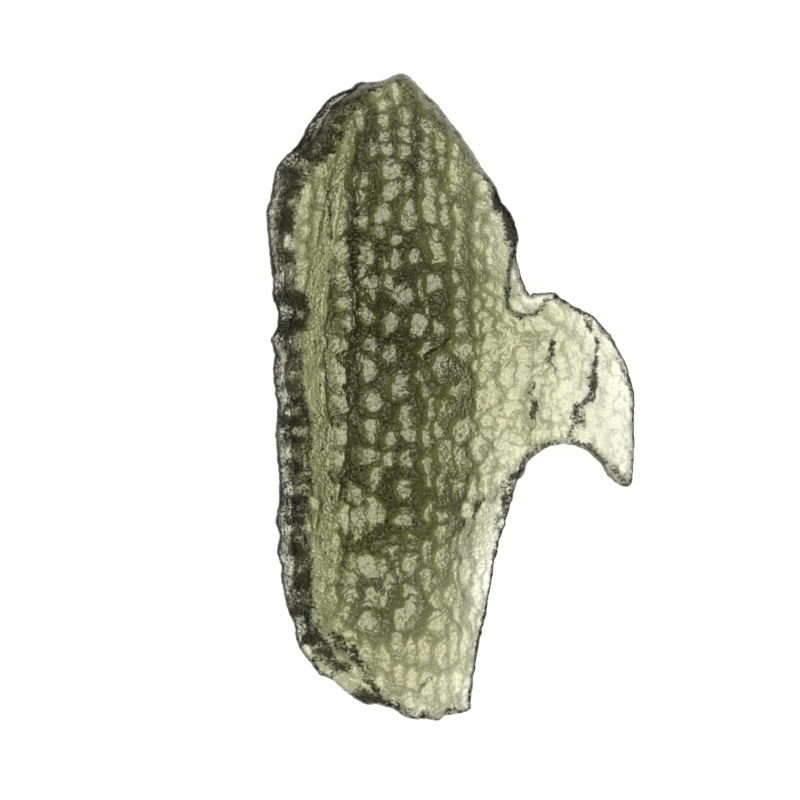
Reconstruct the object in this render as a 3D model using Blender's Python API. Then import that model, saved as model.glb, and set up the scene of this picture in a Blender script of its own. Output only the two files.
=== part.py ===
"""A moldavite: one flat, sculptured piece of natural green glass with a thin hook on its right side.

X runs to the stone's right, Y along its length and Z up. The stone lies on a small flat spot on its
underside, and the origin is on the surface it lies on, under the middle of its box. Its forms were read by
eye in a view from straight above, so places in the plan are pixels of that view, across and down, and
MM_PER_PX gives them their real size. Heights and depths are in millimetres.
"""

import bpy
import numpy as np
from mathutils.geometry import delaunay_2d_cdt

NAME = "moldavite"

# Driving dimensions.
LENGTH_MM = 46.0
LENGTH_PX = 655.0
MM_PER_PX = LENGTH_MM / LENGTH_PX
METRES_PER_MM = 0.001

# The mesh: how far apart its points lie before it is thinned out, and the triangles that are kept.
POINT_SPACING_PX = 3.2
RIM_MARGIN = 0.6
POINTS_PER_SPAN = 12
KEPT_TRIANGLES = 9400
TINY = 1e-9

# The outline, from the foot of the left side, up over the top, round the hook and back along the bottom.
OUTLINE_PX = [
    (296, 640), (293, 623), (287, 608), (283, 590), (280, 577), (281, 566), (277, 552), (279, 535),
    (275.5, 520), (278.5, 503), (279, 480), (277, 452), (275.5, 430), (277.5, 408), (275, 393), (273, 370),
    (274.5, 355), (271, 340), (277, 328), (278, 312), (272.5, 298), (273, 282), (270, 262), (268.5, 240),
    (266, 215), (269.5, 200), (272.5, 186), (276, 169), (282, 159), (292, 150), (300, 140), (307, 126),
    (317, 112), (326, 100), (338, 91), (350, 86.5), (358, 80), (370, 79.8), (380, 79), (390, 74),
    (401, 70.5), (410, 74.5), (419, 84), (435, 99.5), (445, 112), (460, 131), (471, 147), (483, 166),
    (497, 186), (503, 201), (511, 211), (515, 220), (518, 229), (519.5, 238), (518, 246), (517.2, 255),
    (519.3, 265), (523, 278), (527.5, 290), (531.5, 295), (534, 293), (542, 292.5), (556, 292.5), (563, 298),
    (574, 305), (583, 309.5), (592, 314), (603, 325), (613, 336), (620, 350), (627, 364), (633, 382),
    (635.5, 400), (635, 425), (635.5, 445), (634.5, 468), (633, 482), (630, 487), (626, 487), (620, 485.5),
    (609, 476), (603, 466), (595, 457), (585, 450), (572, 445.5), (560, 445), (549, 447.5), (540, 453),
    (530, 461), (526, 469), (523.3, 476.5), (518.3, 482), (515.5, 490), (513.3, 499), (507.2, 518),
    (505, 528), (501, 538), (497.8, 555.5), (495, 562), (494, 572), (491.7, 583), (489, 600), (486, 620),
    (481, 640),
    (477.5, 660), (474, 681), (471.5, 704), (471, 711), (466, 714.5), (457, 716.5), (446, 718), (438, 723.5),
    (427, 721.5), (413, 721.5), (402, 717.5), (391, 711), (378, 707), (364, 706), (350, 697.5), (341, 690.5),
    (332, 682.5), (319, 676), (310, 665), (300, 650.5),
]

# The body's broad form: place in the plan, height of its crown and height of its underside. An underside
# below zero is cut off level there, which makes the flat spot that the stone lies on.
STATIONS = [
    (352, 110, 5.2, 1.5), (400, 95, 4.9, 1.5), (300, 190, 5.4, 2.6), (340, 180, 6.3, 2.2),
    (390, 200, 6.6, 0.7), (440, 170, 5.5, 1.1), (475, 200, 4.4, 1.8), (298, 250, 5.8, 2.8),
    (338, 250, 6.9, 2.5), (400, 300, 7.3, -0.1), (450, 280, 6.2, 0.6), (495, 260, 4.2, 1.8),
    (300, 380, 5.9, 2.8), (334, 380, 7.0, 2.6), (366, 395, 7.4, 0.8), (405, 400, 7.1, -0.8),
    (460, 380, 5.5, 1.0), (500, 360, 4.5, 1.7), (304, 480, 5.9, 2.8), (336, 480, 7.0, 2.4),
    (366, 500, 7.1, 0.9), (412, 500, 6.3, 0.0), (470, 470, 4.7, 1.6), (505, 440, 4.0, 2.1),
    (310, 570, 5.4, 2.5), (345, 570, 6.3, 1.9), (400, 580, 5.8, 0.9), (440, 600, 4.8, 1.5),
    (470, 580, 3.65, 2.2), (487, 520, 3.7, 2.4), (318, 640, 4.6, 2.2), (350, 640, 5.2, 1.7),
    (400, 660, 4.7, 1.5), (465, 650, 3.55, 2.0), (345, 682, 3.9, 2.1), (430, 705, 3.9, 2.0),
    (540, 340, 4.4, 2.2), (530, 430, 4.3, 2.1), (560, 400, 3.8, 2.4), (600, 360, 3.6, 2.7),
    (615, 430, 3.5, 2.8), (625, 480, 3.4, 2.7), (550, 300, 3.8, 2.5),
]
STATION_SCALE_PX = 100.0
RIM_LEVEL = {"left": 0.55, "body": 0.42, "hook": 0.45}

# The stone's side, from the rim inwards: a rounded foot, a lip that is nearly level, and the wall above it.
# The thick left side has the broadest lip, and the hook has hardly any.
LEFT_SIDE_PX = (400.0, 300.0)
LEFT_END_PX = (665.0, 630.0)
HOOK_SIDE_PX = (512.0, 530.0)
FOOT_WIDTH_MM = {"left": 0.2, "body": 0.42, "hook": 0.22}
FOOT_HEIGHT_MM = {"left": 0.4, "body": 0.9, "hook": 0.3}
LIP_WIDTH_MM = {"left": 0.9, "body": 0.1, "hook": 0.1}
LIP_SLOPE = 0.18
WALL_SLOPE = {"left": 2.0, "body": 1.6, "hook": 1.2}
UNDERCUT_WIDTH_MM = {"left": 1.9, "body": 0.8, "hook": 0.3}
UNDERCUT_ROUNDNESS = {"left": 0.25, "body": 1.0, "hook": 1.0}
RIM_HALF_THICKNESS_MM = 0.06
LEAST_CROWN_OVER_RIM_MM = 0.1
SHOULDER_ROUNDING_MM = 0.25

# Flutes across the thick left side: place down its length, half width, and depth into the side.
FLUTES = [
    (196, 8, 0.30), (222, 7, 0.38), (262, 8, 0.30), (355, 6, 0.42), (400, 6, 0.46), (422, 5, 0.30),
    (441, 6, 0.40), (467, 5, 0.40), (500, 7, 0.42), (520, 6, 0.30), (548, 7, 0.36), (580, 6, 0.30),
    (610, 8, 0.34), (640, 7, 0.30),
]
FLUTED_SIDE_PX = (345.0, 320.0)
FLUTE_START_MM = (0.3, 0.9)

# The round bite in the left side.
BITE_PX = (289.0, 313.0)
BITE_RADIUS_PX = 21.0
BITE_FLOOR_MM = 4.7
BITE_WALL_MM = 1.6
BITE_POWER = 2

# The smooth band along the left shoulder, with its half width at each place.
BAND = [
    (352, 130, 4), (345, 160, 5), (337, 190, 5), (332, 218, 5), (327, 245, 6), (321, 275, 8),
    (315, 300, 9), (314, 330, 9), (314, 400, 9), (324, 430, 9), (320, 460, 8), (330, 500, 5), (322, 545, 6),
    (317, 580, 6), (316, 615, 5),
]
BAND_FADE_PX = 4.0

# The ledge where the body stops and the thin flake of the hook begins.
LEDGE_PX = [
    (513, 250), (511, 270), (509, 288), (507, 300), (509, 310), (515, 315), (523, 317), (533, 314),
    (541, 305), (550, 299), (560, 297),
]
FLAKE_CORNERS_PX = [(580, 280), (540, 250)]
LEDGE_DROP_MM = 0.75
LEDGE_HALF_WIDTH_PX = 2.2

# Narrow furrows and fissures: route, half width and depth.
FURROWS = [
    ([(354, 128), (356, 200), (355, 300), (358, 420)], 6.5, 0.24),
    ([(413, 100), (415, 150), (417, 205)], 6.0, 0.20),
    ([(331, 172), (329, 215), (332, 240)], 2.5, 0.22),
    ([(425, 358), (437, 348), (450, 343)], 3.0, 0.30),
    ([(485, 498), (480, 507), (474, 517)], 2.5, 0.30),
    ([(467, 522), (461, 536), (459, 552)], 5.0, 0.25),
    ([(521, 464), (515, 471), (509, 479)], 3.0, 0.35),
    ([(553, 342), (549, 362), (556, 372), (561, 381)], 1.8, 0.18),
    ([(534, 383), (530, 395), (534, 410), (534, 420), (530, 440), (527, 457)], 2.4, 0.22),
    ([(599, 337), (597, 350), (596, 370), (594, 385), (592, 398)], 1.6, 0.20),
    ([(590, 395), (580, 405), (576, 420), (572, 438)], 2.2, 0.20),
    ([(583, 312), (588, 320), (592, 328)], 2.2, 0.20),
    ([(430, 679), (422, 685), (421, 695)], 2.0, 0.20),
    ([(400, 108), (397, 135), (399, 160)], 3.0, 0.18),
]

# Cups that stand out in the sculpture: place, half width and half length of each one's floor.
CUPS = [
    (361, 200, 4, 7), (390, 194, 8, 8), (407, 191, 4, 7), (429, 190, 7, 10), (452, 190, 6, 8),
    (383, 218, 7, 9), (408, 222, 6, 12), (429, 213, 7, 10), (365, 227, 4, 6), (380, 238, 5, 5),
    (397, 244, 6, 5), (396, 261, 5, 10), (370, 259, 6, 9), (412, 259, 4, 7), (436, 249, 7, 15),
    (387, 267, 3, 5), (363, 274, 3, 5), (370, 285, 8, 6), (390, 284, 6, 6), (433, 285, 8, 7),
    (401, 296, 10, 9), (360, 299, 4, 5), (374, 296, 4, 6), (422, 292, 5, 8), (460, 298, 6, 6),
    (392, 323, 8, 11), (416, 325, 7, 11), (348, 324, 6, 6), (370, 320, 6, 5), (437, 331, 5, 6),
    (389, 351, 6, 7), (418, 374, 5, 5), (399, 390, 7, 10), (403, 412, 4, 7), (408, 433, 8, 8),
    (390, 437, 4, 8), (404, 460, 5, 9), (387, 460, 5, 7), (438, 367, 6, 8), (443, 451, 7, 9),
    (453, 391, 4, 5), (458, 355, 8, 7), (460, 430, 8, 8), (475, 447, 4, 10), (483, 399, 9, 9),
    (505, 377, 7, 8), (490, 344, 7, 6), (523, 353, 5, 8), (524, 373, 6, 8), (514, 395, 7, 5),
    (511, 410, 8, 5), (405, 488, 6, 11), (378, 479, 5, 9), (338, 488, 3, 8), (357, 489, 5, 5),
    (347, 515, 4, 14), (360, 517, 6, 17), (373, 508, 6, 15), (383, 511, 4, 8), (405, 517, 8, 6),
    (429, 511, 5, 8), (441, 515, 4, 6), (455, 482, 4, 4), (471, 494, 4, 10), (464, 511, 5, 8),
    (382, 542, 5, 4), (369, 562, 8, 10), (381, 561, 5, 6), (355, 558, 5, 6), (425, 551, 4, 13),
    (408, 563, 6, 8), (442, 558, 6, 10), (354, 577, 4, 6), (387, 579, 4, 9), (407, 588, 5, 6),
    (352, 593, 4, 7), (382, 597, 4, 8), (408, 606, 5, 8), (433, 596, 7, 8), (448, 593, 6, 8),
    (475, 588, 3, 14), (457, 609, 3, 10), (436, 621, 7, 5),
    (450, 642, 4, 13), (462, 650, 3, 16), (438, 652, 4, 12), (424, 648, 4, 10), (455, 684, 4, 14),
    (441, 688, 4, 13), (466, 692, 3, 13), (427, 684, 4, 11), (472, 620, 2, 13), (411, 645, 4, 12),
    (397, 640, 4, 11), (385, 655, 4, 12), (399, 672, 4, 10), (413, 680, 4, 12), (463, 570, 4, 12),
    (341, 208, 6, 7), (343, 229, 5, 8), (344, 256, 7, 10), (345, 284, 6, 9), (344, 304, 6, 6),
    (343, 346, 6, 7), (342, 374, 6, 11), (344, 403, 6, 9), (343, 432, 6, 9), (341, 458, 6, 8),
    (371, 345, 6, 6), (372, 370, 5, 9), (375, 400, 6, 9), (373, 428, 5, 9), (372, 455, 6, 8),
]
# The round pits and the broad cups of the top: place, half width and half length of the floor, and depth.
PITS = [
    (371, 590, 5, 6, 0.42), (368, 616, 5, 7, 0.42), (436, 618, 8, 8, 0.28), (405, 115, 6, 10, 0.30),
    (406, 134, 6, 9, 0.30), (384, 122, 6, 6, 0.30), (386, 138, 5, 7, 0.30), (405, 155, 6, 8, 0.30),
    (387, 154, 7, 7, 0.30), (390, 173, 10, 8, 0.32), (425, 157, 6, 5, 0.30), (427, 130, 7, 6, 0.28),
    (424, 144, 5, 6, 0.28), (440, 143, 5, 8, 0.26), (455, 173, 6, 12, 0.26), (361, 117, 4, 13, 0.28),
    (362, 182, 6, 8, 0.30), (383, 107, 5, 6, 0.28), (441, 162, 4, 7, 0.26), (372, 150, 4, 10, 0.28),
]
# The rest of the sculpture stands in columns on the thick part of the stone.
COLUMNS_PX = (275.0, 470.0)
ROWS_PX = (80.0, 725.0)
COLUMN_SPACING_PX = 15.0
COLUMN_JITTER_PX = 2.5
FIRST_ROW_JITTER_PX = 20.0
CUP_HALF_WIDTH_PX = (2.5, 5.5)
CUP_HALF_LENGTH_PX = (4.0, 11.0)
CUP_GAP_PX = (3.0, 8.0)
CUP_CLEARANCE_PX = 1.0
# To the right of the columns, small cups are scattered.
SCATTER_PX = (478.0, 640.0)
SCATTER_SPACING_PX = (10.5, 9.5)
SCATTER_JITTER_PX = 3.0
SCATTERED_HALF_PX = (2.6, 5.2)
CUP_DEPTH_MM = (0.24, 0.38)
CUP_TILT = 0.10
CUP_WALL_SLOPE = 0.8
WALL_REACH_PX = 16.0
RIDGE_RISE_MM = 0.22
LEVELLING = 0.8
LEVELLED_MM = 0.4
SQUARENESS = 2.3
WARP_PX = (2.0, 2.8)
WARP_SIZE_PX = 8.0
# The columns of cups run in long soft waves.
WAVE_PX = 3.0
WAVE_SIZE_PX = 20.0

# Where the surface is smooth, without cups: place, half width and half length.
SMOOTH_PATCHES = [(500, 255, 11, 42), (508, 342, 9, 13), (488, 540, 15, 30), (348, 683, 16, 16)]
PATCH_FADE = 0.35

# How deep the sculpture is from place to place, as a part of its full depth.
RELIEF = [
    (360, 150, 0.9), (400, 300, 1.0), (380, 500, 1.0), (440, 420, 0.8), (480, 250, 0.6), (500, 420, 0.5),
    (460, 600, 0.5), (420, 690, 0.5), (545, 370, 0.5), (600, 400, 0.18), (300, 400, 0.6), (460, 150, 0.7),
    (300, 620, 0.8), (630, 470, 0.12), (560, 300, 0.3),
]
RELIEF_REACH_PX = 55.0
CALM_RIM_MM = {"left": (0.7, 1.15), "body": (0.0, 0.55), "hook": (0.0, 0.55)}

# The underside has soft round dimples, but none on the flat spot, which must stay level, and none under the
# smooth band. Points that thinning lifts off the flat spot by less than the last measure go back onto it.
FLAT_SPOT_CALM_MM = 0.35
UNDERSIDE_RELIEF = 0.5
DIMPLE_SPREAD = 2.2
DIMPLED_PX = (345.0, 385.0)
FLAT_SPOT_LEVEL_MM = 0.004

# Broad, soft lumps over the whole stone.
LUMP_SIZE_PX = 46.0
LUMP_MM = 0.16

NOISE_TABLE = 64
SEED = 20

GLASS_COLOUR = (0.36, 0.41, 0.17, 1.0)
GLASS_ROUGHNESS = 0.22
GLASS_IOR = 1.49


def smooth_step(low, high, value):
    """0 up to low, 1 from high on, and a smooth rise between them; low may be the greater of the two."""
    t = np.clip((value - low) / (high - low), 0.0, 1.0)
    return t * t * (3.0 - 2.0 * t)


def value_noise(across, down, seed):
    """Soft noise from -1 to 1 with one random value at each whole number."""
    table = np.random.default_rng(seed).uniform(-1.0, 1.0, (NOISE_TABLE, NOISE_TABLE))
    column = np.floor(across).astype(int)
    row = np.floor(down).astype(int)
    u = smooth_step(0.0, 1.0, across - column)
    v = smooth_step(0.0, 1.0, down - row)
    column, next_column = column % NOISE_TABLE, (column + 1) % NOISE_TABLE
    row, next_row = row % NOISE_TABLE, (row + 1) % NOISE_TABLE
    left = table[row, column] * (1 - v) + table[next_row, column] * v
    right = table[row, next_column] * (1 - v) + table[next_row, next_column] * v
    return left * (1 - u) + right * u


def smooth_lower(a, b, rounding):
    """The lower of two heights, rounded where they cross."""
    blend = np.clip(0.5 + 0.5 * (b - a) / rounding, 0.0, 1.0)
    return b * (1 - blend) + a * blend - rounding * blend * (1 - blend)


def evenly_spaced(points, spacing):
    """Points along a closed smooth curve through the given ones, all about spacing apart."""
    points = np.array(points, float)
    t = np.linspace(0.0, 1.0, POINTS_PER_SPAN, endpoint=False)[:, None]
    before, after, beyond = np.roll(points, 1, 0), np.roll(points, -1, 0), np.roll(points, -2, 0)
    spans = []
    for p0, p1, p2, p3 in zip(before, points, after, beyond):
        spans.append(0.5 * (2 * p1 + (p2 - p0) * t + (2 * p0 - 5 * p1 + 4 * p2 - p3) * t ** 2
                            + (3 * p1 - p0 - 3 * p2 + p3) * t ** 3))
    curve = np.vstack(spans + [spans[0][:1]])
    travelled = np.concatenate([[0.0], np.cumsum(np.linalg.norm(np.diff(curve, axis=0), axis=1))])
    count = int(travelled[-1] / spacing)
    stops = np.linspace(0.0, travelled[-1], count, endpoint=False)
    return np.column_stack([np.interp(stops, travelled, axis) for axis in curve.T])


def distance_to_line(px, py, line):
    """How far each place is from an open line, and where along it the nearest point lies, in segments."""
    nearest = np.full(px.shape, np.inf)
    along = np.zeros(px.shape)
    for number, ((ax, ay), (bx, by)) in enumerate(zip(line[:-1], line[1:])):
        length_squared = (bx - ax) ** 2 + (by - ay) ** 2
        t = np.clip(((px - ax) * (bx - ax) + (py - ay) * (by - ay)) / length_squared, 0.0, 1.0)
        distance = np.hypot(px - ax - t * (bx - ax), py - ay - t * (by - ay))
        closer = distance < nearest
        nearest = np.where(closer, distance, nearest)
        along = np.where(closer, number + t, along)
    return nearest, along


def inside(px, py, loop):
    """Which places lie inside a closed loop."""
    result = np.zeros(px.shape, bool)
    for (ax, ay), (bx, by) in zip(loop, np.roll(loop, -1, 0)):
        if ay != by:
            crosses = (ay > py) != (by > py)
            result ^= crosses & (px < (bx - ax) * (py - ay) / (by - ay) + ax)
    return result


def thin_plate(places, heights):
    """A function for the smooth surface that passes through the given heights at the given places."""
    places = np.array(places, float) / STATION_SCALE_PX

    def bend(across, down):
        squared = across ** 2 + down ** 2
        return squared * np.log(squared + TINY)

    count = len(places)
    flat = np.column_stack([np.ones(count), places])
    matrix = np.zeros((count + 3, count + 3))
    matrix[:count, :count] = bend(places[:, :1] - places[:, 0], places[:, 1:] - places[:, 1])
    matrix[:count, count:] = flat
    matrix[count:, :count] = flat.T
    weights = np.linalg.solve(matrix, np.concatenate([heights, np.zeros(3)]))

    def surface(px, py):
        across, down = px / STATION_SCALE_PX, py / STATION_SCALE_PX
        height = weights[count] + weights[count + 1] * across + weights[count + 2] * down
        for (x, y), weight in zip(places, weights):
            height = height + weight * bend(across - x, down - y)
        return height

    return surface


CROWN = thin_plate([s[:2] for s in STATIONS], [s[2] for s in STATIONS])
UNDERSIDE = thin_plate([s[:2] for s in STATIONS], [s[3] for s in STATIONS])


def band_part(px, py):
    """1 on the smooth band along the left shoulder, 0 away from it."""
    distance, along = distance_to_line(px, py, [p[:2] for p in BAND])
    half_width = np.interp(along, range(len(BAND)), [p[2] for p in BAND])
    return 1.0 - smooth_step(0.0, BAND_FADE_PX, distance - half_width)


def smooth_part(px, py):
    """1 where the surface has no cups, 0 where it is fully sculptured."""
    smooth = band_part(px, py)
    for x, y, half_width, half_length in SMOOTH_PATCHES:
        reach = np.hypot((px - x) / half_width, (py - y) / half_length)
        smooth = np.maximum(smooth, 1.0 - smooth_step(1.0 - PATCH_FADE, 1.0 + PATCH_FADE, reach))
    return smooth


def relief_part(px, py):
    """How deep the sculpture is at each place, as a part of its full depth."""
    total = np.zeros(px.shape)
    weight = np.zeros(px.shape)
    for x, y, part in RELIEF:
        near = np.exp(-((px - x) ** 2 + (py - y) ** 2) / (2 * RELIEF_REACH_PX ** 2)) + TINY
        total += near * part
        weight += near
    return total / weight


def flake_part(px, py):
    """1 on the hook's side of the ledge, 0 on the body's side."""
    distance, _ = distance_to_line(px, py, LEDGE_PX)
    beyond = inside(px, py, np.array(LEDGE_PX + FLAKE_CORNERS_PX, float))
    signed = np.where(beyond, distance, -distance)
    return smooth_step(-LEDGE_HALF_WIDTH_PX, LEDGE_HALF_WIDTH_PX, signed)


def furrow_depth(px, py):
    """How deep the narrow furrows and fissures are at each place."""
    px, py = bent_places(px, py)
    depth = np.zeros(px.shape)
    for line, half_width, full_depth in FURROWS:
        distance, _ = distance_to_line(px, py, line)
        depth = np.maximum(depth, full_depth * (1.0 - smooth_step(0.0, half_width, distance)))
    return depth


def upper_cups(rng):
    """Every cup of the upper side: place, half width, half length, depth and tilt of its floor."""
    cups = []
    for x, y, half_width, half_length in CUPS:
        cups.append((x, y, half_width, half_length, rng.uniform(*CUP_DEPTH_MM), rng.normal(0, CUP_TILT, 2)))
    for x, y, half_width, half_length, depth in PITS:
        cups.append((x, y, half_width, half_length, depth, (0.0, 0.0)))
    return scatter_cups(fill_with_columns(cups, rng), rng)


def fill_with_columns(cups, rng):
    """Adds cups in columns wherever the ones already there leave room."""
    cups = list(cups)
    for column in np.arange(*COLUMNS_PX, COLUMN_SPACING_PX):
        y = ROWS_PX[0] + rng.uniform(0, FIRST_ROW_JITTER_PX)
        while y < ROWS_PX[1]:
            half_width = rng.uniform(*CUP_HALF_WIDTH_PX)
            half_length = rng.uniform(*CUP_HALF_LENGTH_PX)
            y += half_length
            x = column + rng.uniform(-COLUMN_JITTER_PX, COLUMN_JITTER_PX)
            depth = rng.uniform(*CUP_DEPTH_MM)
            tilt = rng.normal(0, CUP_TILT, 2)
            free = all(abs(x - c[0]) > half_width + c[2] + CUP_CLEARANCE_PX
                       or abs(y - c[1]) > half_length + c[3] + CUP_CLEARANCE_PX for c in cups)
            if free:
                cups.append((x, y, half_width, half_length, depth, tilt))
            y += half_length + rng.uniform(*CUP_GAP_PX)
    return cups


def scatter_cups(cups, rng):
    """Adds small cups in uneven rows on the thin part of the stone, where those already there leave room."""
    cups = list(cups)
    across, down = SCATTER_SPACING_PX
    for number, row in enumerate(np.arange(*ROWS_PX, down)):
        for x in np.arange(*SCATTER_PX, across) + across / 2 * (number % 2):
            x += rng.uniform(-SCATTER_JITTER_PX, SCATTER_JITTER_PX)
            y = row + rng.uniform(-SCATTER_JITTER_PX, SCATTER_JITTER_PX)
            half_width, half_length = rng.uniform(*SCATTERED_HALF_PX, 2)
            depth = rng.uniform(*CUP_DEPTH_MM)
            tilt = rng.normal(0, CUP_TILT, 2)
            if all(abs(x - c[0]) > half_width + c[2]
                   or abs(y - c[1]) > half_length + c[3] for c in cups):
                cups.append((x, y, half_width, half_length, depth, tilt))
    return cups


def bent_places(px, py):
    """The places pushed about a little, so that forms laid out on them become irregular."""
    across = WARP_PX[0] * value_noise(px / WARP_SIZE_PX, py / WARP_SIZE_PX, SEED + 2)
    down = WARP_PX[1] * value_noise(px / WARP_SIZE_PX, py / WARP_SIZE_PX, SEED + 3)
    return px + across, py + down


def carve(px, py, base, cups):
    """How deep the cups cut into a surface of the given height. A floor is nearly level even where the
    surface slopes, and the walls rise from it until they meet in a sharp ridge."""
    px, py = bent_places(px, py)
    px = px + WAVE_PX * value_noise(px / WAVE_SIZE_PX, py / WAVE_SIZE_PX, SEED + 40)
    py = py + WAVE_PX * value_noise(px / WAVE_SIZE_PX, py / WAVE_SIZE_PX, SEED + 41)
    depth = np.full(px.shape, -RIDGE_RISE_MM)
    for x, y, half_width, half_length, full_depth, tilt in cups:
        reach = max(half_width, half_length) + WALL_REACH_PX
        near = np.flatnonzero((np.abs(px - x) < reach) & (np.abs(py - y) < reach))
        if not len(near):
            continue
        u = px[near] - x
        v = py[near] - y
        shape = (np.abs(u) / half_width) ** SQUARENESS + (np.abs(v) / half_length) ** SQUARENESS
        shape = shape ** (1 / SQUARENESS) + TINY
        outside = np.maximum(np.hypot(u, v) * (1.0 - 1.0 / shape), 0.0) * MM_PER_PX
        above_middle = base[near] - base[near[np.argmin(u ** 2 + v ** 2)]]
        levelling = LEVELLING * np.clip(above_middle, -full_depth, full_depth)
        levelling = levelling * (1.0 - smooth_step(0.0, LEVELLED_MM, outside))
        floor = full_depth + levelling + (tilt[0] * u + tilt[1] * v) * MM_PER_PX
        depth[near] = np.maximum(depth[near], floor - CUP_WALL_SLOPE * outside)
    return depth


def dimple(px, py, cups):
    """How deep soft round dimples are at each place."""
    px, py = bent_places(px, py)
    depth = np.zeros(px.shape)
    for x, y, half_width, half_length, full_depth, _ in cups:
        shape = np.hypot((px - x) / (DIMPLE_SPREAD * half_width), (py - y) / (DIMPLE_SPREAD * half_length))
        depth = np.maximum(depth, full_depth * (1.0 - smooth_step(0.0, 1.0, shape)))
    return depth


def by_side(px, py, values):
    """A measure that differs between the left side, the body and the hook."""
    left = smooth_step(*LEFT_SIDE_PX, px) * smooth_step(*LEFT_END_PX, py)
    hook = smooth_step(*HOOK_SIDE_PX, px)
    body = values["body"] * (1 - left) + values["left"] * left
    return body * (1 - hook) + values["hook"] * hook


def calm_part(px, py, in_from_rim):
    """0 along the rim, where there are no cups, and 1 farther in."""
    start = by_side(px, py, {side: reach[0] for side, reach in CALM_RIM_MM.items()})
    end = by_side(px, py, {side: reach[1] for side, reach in CALM_RIM_MM.items()})
    return smooth_step(start, end, in_from_rim)


def side_height(px, py, in_from_rim):
    """How high the stone's side stands above the rim, by the distance in from the outline."""
    fluted = smooth_step(*FLUTED_SIDE_PX, px) * smooth_step(*FLUTE_START_MM, in_from_rim)
    for y, half_width, depth in FLUTES:
        in_from_rim = in_from_rim - fluted * depth * np.exp(-((py - y) / half_width) ** 2)
    lip_width = by_side(px, py, LIP_WIDTH_MM)
    t = np.clip(in_from_rim / by_side(px, py, FOOT_WIDTH_MM), 0.0, 1.0)
    foot = by_side(px, py, FOOT_HEIGHT_MM) * np.sqrt(1.0 - (1.0 - t) ** 2)
    lip = LIP_SLOPE * np.minimum(in_from_rim, lip_width)
    return foot + lip + by_side(px, py, WALL_SLOPE) * np.maximum(in_from_rim - lip_width, 0.0)


def upper_surface(px, py, in_from_rim):
    """The height of the upper side at each place."""
    crown = CROWN(px, py) + LUMP_MM * value_noise(px / LUMP_SIZE_PX, py / LUMP_SIZE_PX, SEED)
    underside = UNDERSIDE(px, py)
    rim = underside + by_side(px, py, RIM_LEVEL) * (crown - underside) + RIM_HALF_THICKNESS_MM
    crown = crown - LEDGE_DROP_MM * flake_part(px, py)
    crown = np.maximum(crown, rim + LEAST_CROWN_OVER_RIM_MM)
    calm = calm_part(px, py, in_from_rim)
    height = rim + smooth_lower(crown - rim, side_height(px, py, in_from_rim), SHOULDER_ROUNDING_MM)
    cups = carve(px, py, height, upper_cups(np.random.default_rng(SEED)))
    relief = cups * relief_part(px, py) * (1.0 - smooth_part(px, py))
    height = height - (relief + furrow_depth(px, py)) * calm
    from_bite = np.hypot(px - BITE_PX[0], py - BITE_PX[1]) / BITE_RADIUS_PX
    bite = BITE_FLOOR_MM + BITE_WALL_MM * from_bite ** BITE_POWER
    height = smooth_lower(height, np.maximum(bite, rim), SHOULDER_ROUNDING_MM)
    return np.where(in_from_rim > 0, np.maximum(height, rim), rim)


def lower_surface(px, py, in_from_rim):
    """The height of the underside at each place."""
    crown = CROWN(px, py)
    underside = UNDERSIDE(px, py)
    rim = underside + by_side(px, py, RIM_LEVEL) * (crown - underside) - RIM_HALF_THICKNESS_MM
    t = np.clip(in_from_rim / by_side(px, py, UNDERCUT_WIDTH_MM), 0.0, 1.0)
    roundness = by_side(px, py, UNDERCUT_ROUNDNESS)
    undercut = roundness * np.sqrt(1.0 - (1.0 - t) ** 2) + (1.0 - roundness) * t
    height = rim - (rim - underside) * undercut
    calm = smooth_step(0.0, FLAT_SPOT_CALM_MM, height) * calm_part(px, py, in_from_rim)
    calm = calm * smooth_step(*DIMPLED_PX, px)
    height += dimple(px, py, fill_with_columns([], np.random.default_rng(SEED + 1))) * UNDERSIDE_RELIEF * calm
    return np.maximum(height, 0.0)


def lattice(outline, spacing):
    """Points in even rows inside the outline, none of them close to it."""
    rows = []
    low, high = outline.min(0), outline.max(0)
    for number, y in enumerate(np.arange(low[1], high[1], spacing * 3 ** 0.5 / 2)):
        x = np.arange(low[0] + spacing / 2 * (number % 2), high[0], spacing)
        rows.append(np.column_stack([x, np.full(len(x), y)]))
    points = np.vstack(rows)
    points = points[inside(points[:, 0], points[:, 1], outline)]
    loop = np.vstack([outline, outline[:1]])
    distance, _ = distance_to_line(points[:, 0], points[:, 1], loop)
    return points[distance > RIM_MARGIN * spacing], distance[distance > RIM_MARGIN * spacing]


def stone_mesh(spacing):
    """The closed mesh: a net of triangles for the upper side and one for the underside, joined at the rim."""
    outline = evenly_spaced(OUTLINE_PX, spacing)
    within, distance = lattice(outline, spacing)
    rim_count = len(outline)
    edges = [(i, (i + 1) % rim_count) for i in range(rim_count)]
    points, _, faces, *_ = delaunay_2d_cdt(np.vstack([outline, within]).tolist(), edges, [], 1, TINY)
    plan = np.array([tuple(p) for p in points])
    in_from_rim = np.concatenate([np.zeros(rim_count), distance]) * MM_PER_PX
    upper = upper_surface(plan[:, 0], plan[:, 1], in_from_rim)
    lower = lower_surface(plan[:, 0], plan[:, 1], in_from_rim)
    middle = (outline.min(0) + outline.max(0)) / 2
    x = (plan[:, 0] - middle[0]) * MM_PER_PX
    y = (middle[1] - plan[:, 1]) * MM_PER_PX
    vertices = np.vstack([np.column_stack([x, y, upper]), np.column_stack([x, y, lower])])
    count = len(plan)
    # Down the plan is minus Y, so a loop that turns one way in the plan turns the other way in space.
    triangles = [tuple(reversed(face)) for face in faces]
    triangles += [tuple(i + count for i in face) for face in faces]
    for i, j in edges:
        triangles += [(i, j, j + count), (i, j + count, i + count)]
    mesh = bpy.data.meshes.new(NAME)
    mesh.from_pydata((vertices * METRES_PER_MM).tolist(), [], triangles)
    mesh.validate()
    return mesh


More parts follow.
